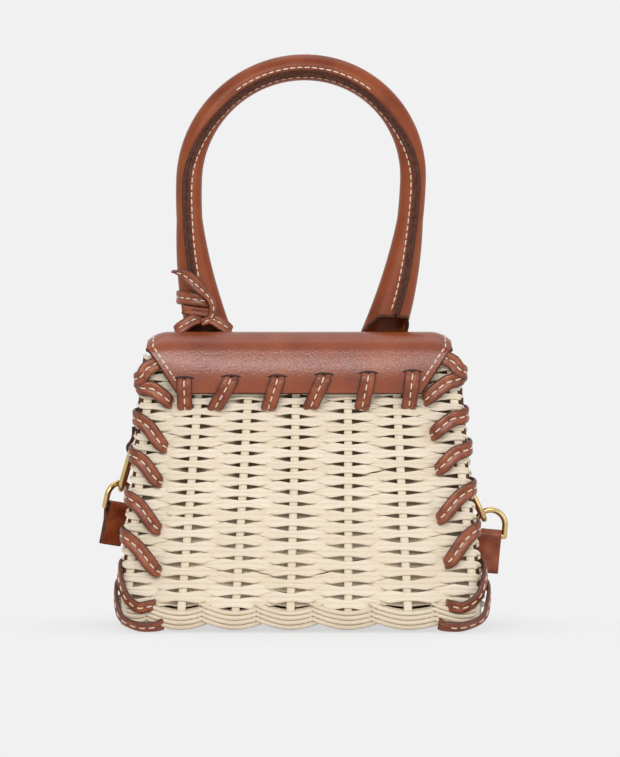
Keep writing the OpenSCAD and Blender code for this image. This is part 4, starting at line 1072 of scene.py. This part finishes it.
def make_tie():
    """Knotted thong round the left leg: an oval wrap that dips at the back, and the strips of its knot."""
    z = FOOT_BOTTOM + TIE_RISE
    place = np.array([handle_shift(z) - leg_x(z), 0.0, z])
    turn = np.radians(np.linspace(WRAP_FROM, WRAP_TO, 60))
    c, s = np.cos(turn), np.sin(turn)
    sink = 1 - WRAP_SINK * ease((np.linspace(0, 1, 60) - WRAP_SINK_FROM) / (1 - WRAP_SINK_FROM))
    wrap = np.stack([WRAP_HALF_W * sink * c, WRAP_HALF_D * sink * s, -WRAP_DROP - WRAP_SLANT * c], axis=1)
    wrap_out = unit(np.stack([c / WRAP_HALF_W, s / WRAP_HALF_D, 0 * turn], axis=1))
    paths = [even_path(wrap + place, wrap_out, TIE_STEPS)]
    paths += [even_path(through(k, 60) + place, unit(through(n, 60)), TIE_STEPS) for k, n in TIE_STRIPS]
    t = np.linspace(0, 1, TIE_STEPS)
    tail = TAIL_TIP + TAIL_WIDER * ease(t / 0.22) - TAIL_SLIM * ease((t - 0.3) / 0.3)
    end = END_WIDE + END_WIDER * t
    wide = np.stack([0 * t + WRAP_WIDE, tail, 0 * t + KNOT_WIDE, end, end])
    points, polygons, marks = thong_mesh(paths, wide)
    put_mesh("tie_thong", points, polygons, [THONG_LEATHER], "lid", "leather", marks,
             stands_for=["handle_tie"])
    sewn = paths[:2] + paths[3:]
    runs = [stitch_runs(*p, first=2.2, length=2.4, gap=0.7, count=20, lift=THONG_RISE) for p in sewn]
    put_stitches("tie_thread", runs, "lid", 0.28)


# Side fittings

STRAP_T, CHAPE_W, TAB_W = 1.22, 10.0, 9.5
TAB_LINE = [(1.32, -16.0), (1.32, -11.0), (1.4, -6.0), (2.3, -2.2), (2.55, 0.9), (0.0, 2.72), (-2.55, 0.9),
            (-2.3, -2.2), (-1.4, -6.0), (-1.32, -11.0), (-1.32, -16.0)]
CHAPE_LINE = [(0.1, 9.0), (0.15, 5.5), (1.0, 3.2), (2.5, 1.0), (2.2, -1.6), (0.0, -2.72), (-2.3, -1.5),
              (-2.7, 0.8), (-2.7, 5.0), (-2.7, 9.0)]
# Each side's ring and link bars, before mirroring, and the turns of its link and tab in degrees
FITTINGS = {"left": ((71.9881, 0, 76.0), (78.7969, 0, 50.3528), -12.0106, -38.0, -2.0),
            "right": ((70.2685, 0, 62.0), (80.6516, 0, 38.6066), 4.98941, 0.0, 0.0)}


def turned(axis, angle):
    """Matrix of a turn about X, Y or Z by an angle in degrees."""
    c, d = np.cos(np.radians(angle)), np.sin(np.radians(angle))
    i, j = [(1, 2), (2, 0), (0, 1)][axis]
    m = np.eye(3)
    m[i, i], m[i, j], m[j, i], m[j, j] = c, -d, d, c
    return m


def put_strap(name, line, width, turn_to, place, left, material, body, node):
    """A strap folded round a bar: its section line spread over the width, turned, set in place, and mirrored
    on the left."""
    section = through(line, 60)
    across = close_rows(15, width / 2, -width / 2, lip=0.03)
    flat = np.stack([across[None] + 0 * section[:, :1], section[:, :1] + 0 * across[None],
                     section[:, 1:] + 0 * across[None]], axis=-1)
    points, polygons, paint = slab(flat @ turn_to.T + np.array(place), STRAP_T, swell=0.15)
    if left:
        points, polygons = mirrored(points, polygons, MIRROR_X)
    put_mesh(name, points, polygons, [material, EDGE], body, "leather", face_material=paint,
             stands_for=[node])


def make_straps():
    """Leather loops that hold the rings, and the tabs folded on the links."""
    for name, (ring_at, bar_at, link_turn, twist, tab_turn) in FITTINGS.items():
        left = name == "left"
        put_strap(name + "_ring_loop", CHAPE_LINE, -CHAPE_W, turned(2, -90), ring_at, left, FLAP_LEATHER,
                  "bag", name + "_chape")
        hang = turned(1, link_turn) @ turned(2, twist) @ turned(0, tab_turn)
        put_strap(name + "_folded_tab", TAB_LINE, TAB_W, hang, bar_at, left, THONG_LEATHER, name + "_tag",
                  name + "_tab")


def finish_cad():
    """Metal pieces keep their own shape and get their finish."""
    for node, material in (("left_ring", GOLD), ("right_ring", GOLD), ("left_link", GOLD),
                           ("right_link", GOLD), ("magnet_upper", STEEL), ("magnet_lower", STEEL)):
        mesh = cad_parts[node].data
        mesh.materials.clear()
        mesh.materials.append(material)


# Stage

BACKDROP, SKY, GROUND_PALE = colour(241, 241, 241), colour(235, 235, 235), colour(238, 238, 238)
GROUND_REACH = 4
SKY_LIGHT = 0.6
# The floor fades to the even grey over an oval, set per metre: from where, to where, and its least share
FADE_OVAL, FADE_FROM, FADE_TO, FADE_LEAST = (6.5, 11.0, 1.0), 0.3, 1.0, 0.72
PICTURE_H, GROUND_PX, PX_PER_MM = 757, 632, 2.4
CAMERA_AWAY, FACE_AWAY, CAMERA_X = 1.15, 0.030, 0.0038
SENSOR_H = 36.0


def shown_rays(tree):
    """1 for the rays that see the backdrop as it is: from the camera, mirrored or through glass."""
    ray = add(tree, "LightPath").outputs
    most = lambda a, b: add(tree, "Math", {0: a, 1: b}, operation="MAXIMUM").outputs[0]
    return most(most(ray["Is Camera Ray"], ray["Is Transmission Ray"]), ray["Is Glossy Ray"])


def make_surround(scene):
    """A pale surround: an even grey to the camera, and a softer one as light."""
    world = bpy.data.worlds.new("surround")
    world.use_nodes = True
    scene.world = world
    tree = world.node_tree
    light = tree.nodes["Background"]
    set_up(tree, light, {}, {"Color": SKY, "Strength": SKY_LIGHT})
    seen = add(tree, "Background", {}, {"Color": BACKDROP, "Strength": 1.0})
    mix = add(tree, "MixShader", {"Fac": shown_rays(tree), 1: light.outputs[0], 2: seen.outputs[0]})
    set_up(tree, tree.nodes["World Output"], {"Surface": mix.outputs[0]}, {})


def make_ground(scene):
    """A pale floor that takes the shadow near the bag and fades to the even grey of the surround."""
    mesh = bpy.data.meshes.new("floor")
    r = GROUND_REACH
    mesh.from_pydata([(-r, -r, 0), (r, -r, 0), (r, r, 0), (-r, r, 0)], [], [(0, 1, 2, 3)])
    floor = bpy.data.objects.new("floor", mesh)
    scene.collection.objects.link(floor)
    m, tree, shader, place = new_material("pale_floor")
    set_up(tree, shader, {}, {"Base Color": GROUND_PALE, "Roughness": 0.9, "Specular IOR Level": 0.0})
    even = add(tree, "Emission", {}, {"Color": BACKDROP})
    oval = add(tree, "Mapping", {"Vector": place}, {"Scale": FADE_OVAL}).outputs[0]
    far = add(tree, "VectorMath", {0: oval}, operation="LENGTH").outputs["Value"]
    fade = add(tree, "MapRange", {"Value": far},
               {"From Min": FADE_FROM, "From Max": FADE_TO, "To Min": FADE_LEAST},
               interpolation_type="SMOOTHSTEP").outputs["Result"]
    share = add(tree, "Math", {0: shown_rays(tree), 1: fade}, operation="MULTIPLY").outputs[0]
    mix = add(tree, "MixShader", {"Fac": share, 1: shader.outputs[0], 2: even.outputs[0]})
    set_up(tree, tree.nodes["Material Output"], {"Surface": mix.outputs[0]}, {})
    mesh.materials.append(m)


def make_light(scene, name, place, aim, size, power):
    """An oblong soft light that looks at a point."""
    lamp = bpy.data.lights.new(name, "AREA")
    lamp.shape = "RECTANGLE"
    lamp.size, lamp.size_y = size
    lamp.energy = power
    light = bpy.data.objects.new(name, lamp)
    light.location = place
    d = np.array(aim) - np.array(place)
    pitch = np.arctan2(np.hypot(d[0], d[1]), -d[2])
    light.rotation_euler = (float(pitch), 0.0, float(np.arctan2(d[1], d[0]) - np.pi / 2))
    scene.collection.objects.link(light)


def make_camera(scene):
    """A level camera behind the bag, at the height and distance that give the picture its scale."""
    cam = bpy.data.cameras.new("camera")
    camera = bpy.data.objects.new("camera", cam)
    scene.collection.objects.link(camera)
    cam.sensor_fit = "VERTICAL"
    cam.sensor_height = SENSOR_H
    cam.lens = SENSOR_H * (CAMERA_AWAY - FACE_AWAY) / (PICTURE_H / PX_PER_MM * MM)
    cam.clip_end = 50.0
    camera.location = (CAMERA_X, -CAMERA_AWAY, (GROUND_PX - PICTURE_H / 2) / PX_PER_MM * MM)
    camera.rotation_euler = (np.pi / 2, 0.0, 0.0)
    scene.camera = camera


def make_stage():
    """Pale floor and surround, three soft lights and the camera."""
    scene = bpy.context.scene
    make_surround(scene)
    make_ground(scene)
    make_light(scene, "key", place=(-0.2, -1.3, 0.72), aim=(0, 0, 0.11), size=(0.9, 0.2), power=7.6)
    make_light(scene, "fill", place=(1.0, -1.0, 0.4), aim=(0, 0, 0.1), size=(0.8, 0.8), power=3.0)
    make_light(scene, "top", place=(0.0, 0.1, 1.2), aim=(0, 0, 0.1), size=(0.9, 0.7), power=2.4)
    make_camera(scene)
    scene.view_settings.view_transform = "Standard"


make_stage()
make_panels()
make_floor_weave()
make_gusset("left_gusset", 4.0, -1)
make_gusset("right_gusset", 10.0, 1)
make_lining()
make_flap()
make_side_thongs()
make_flap_thongs()
make_flap_stitching()
make_handle()
make_tie()
make_straps()
finish_cad()
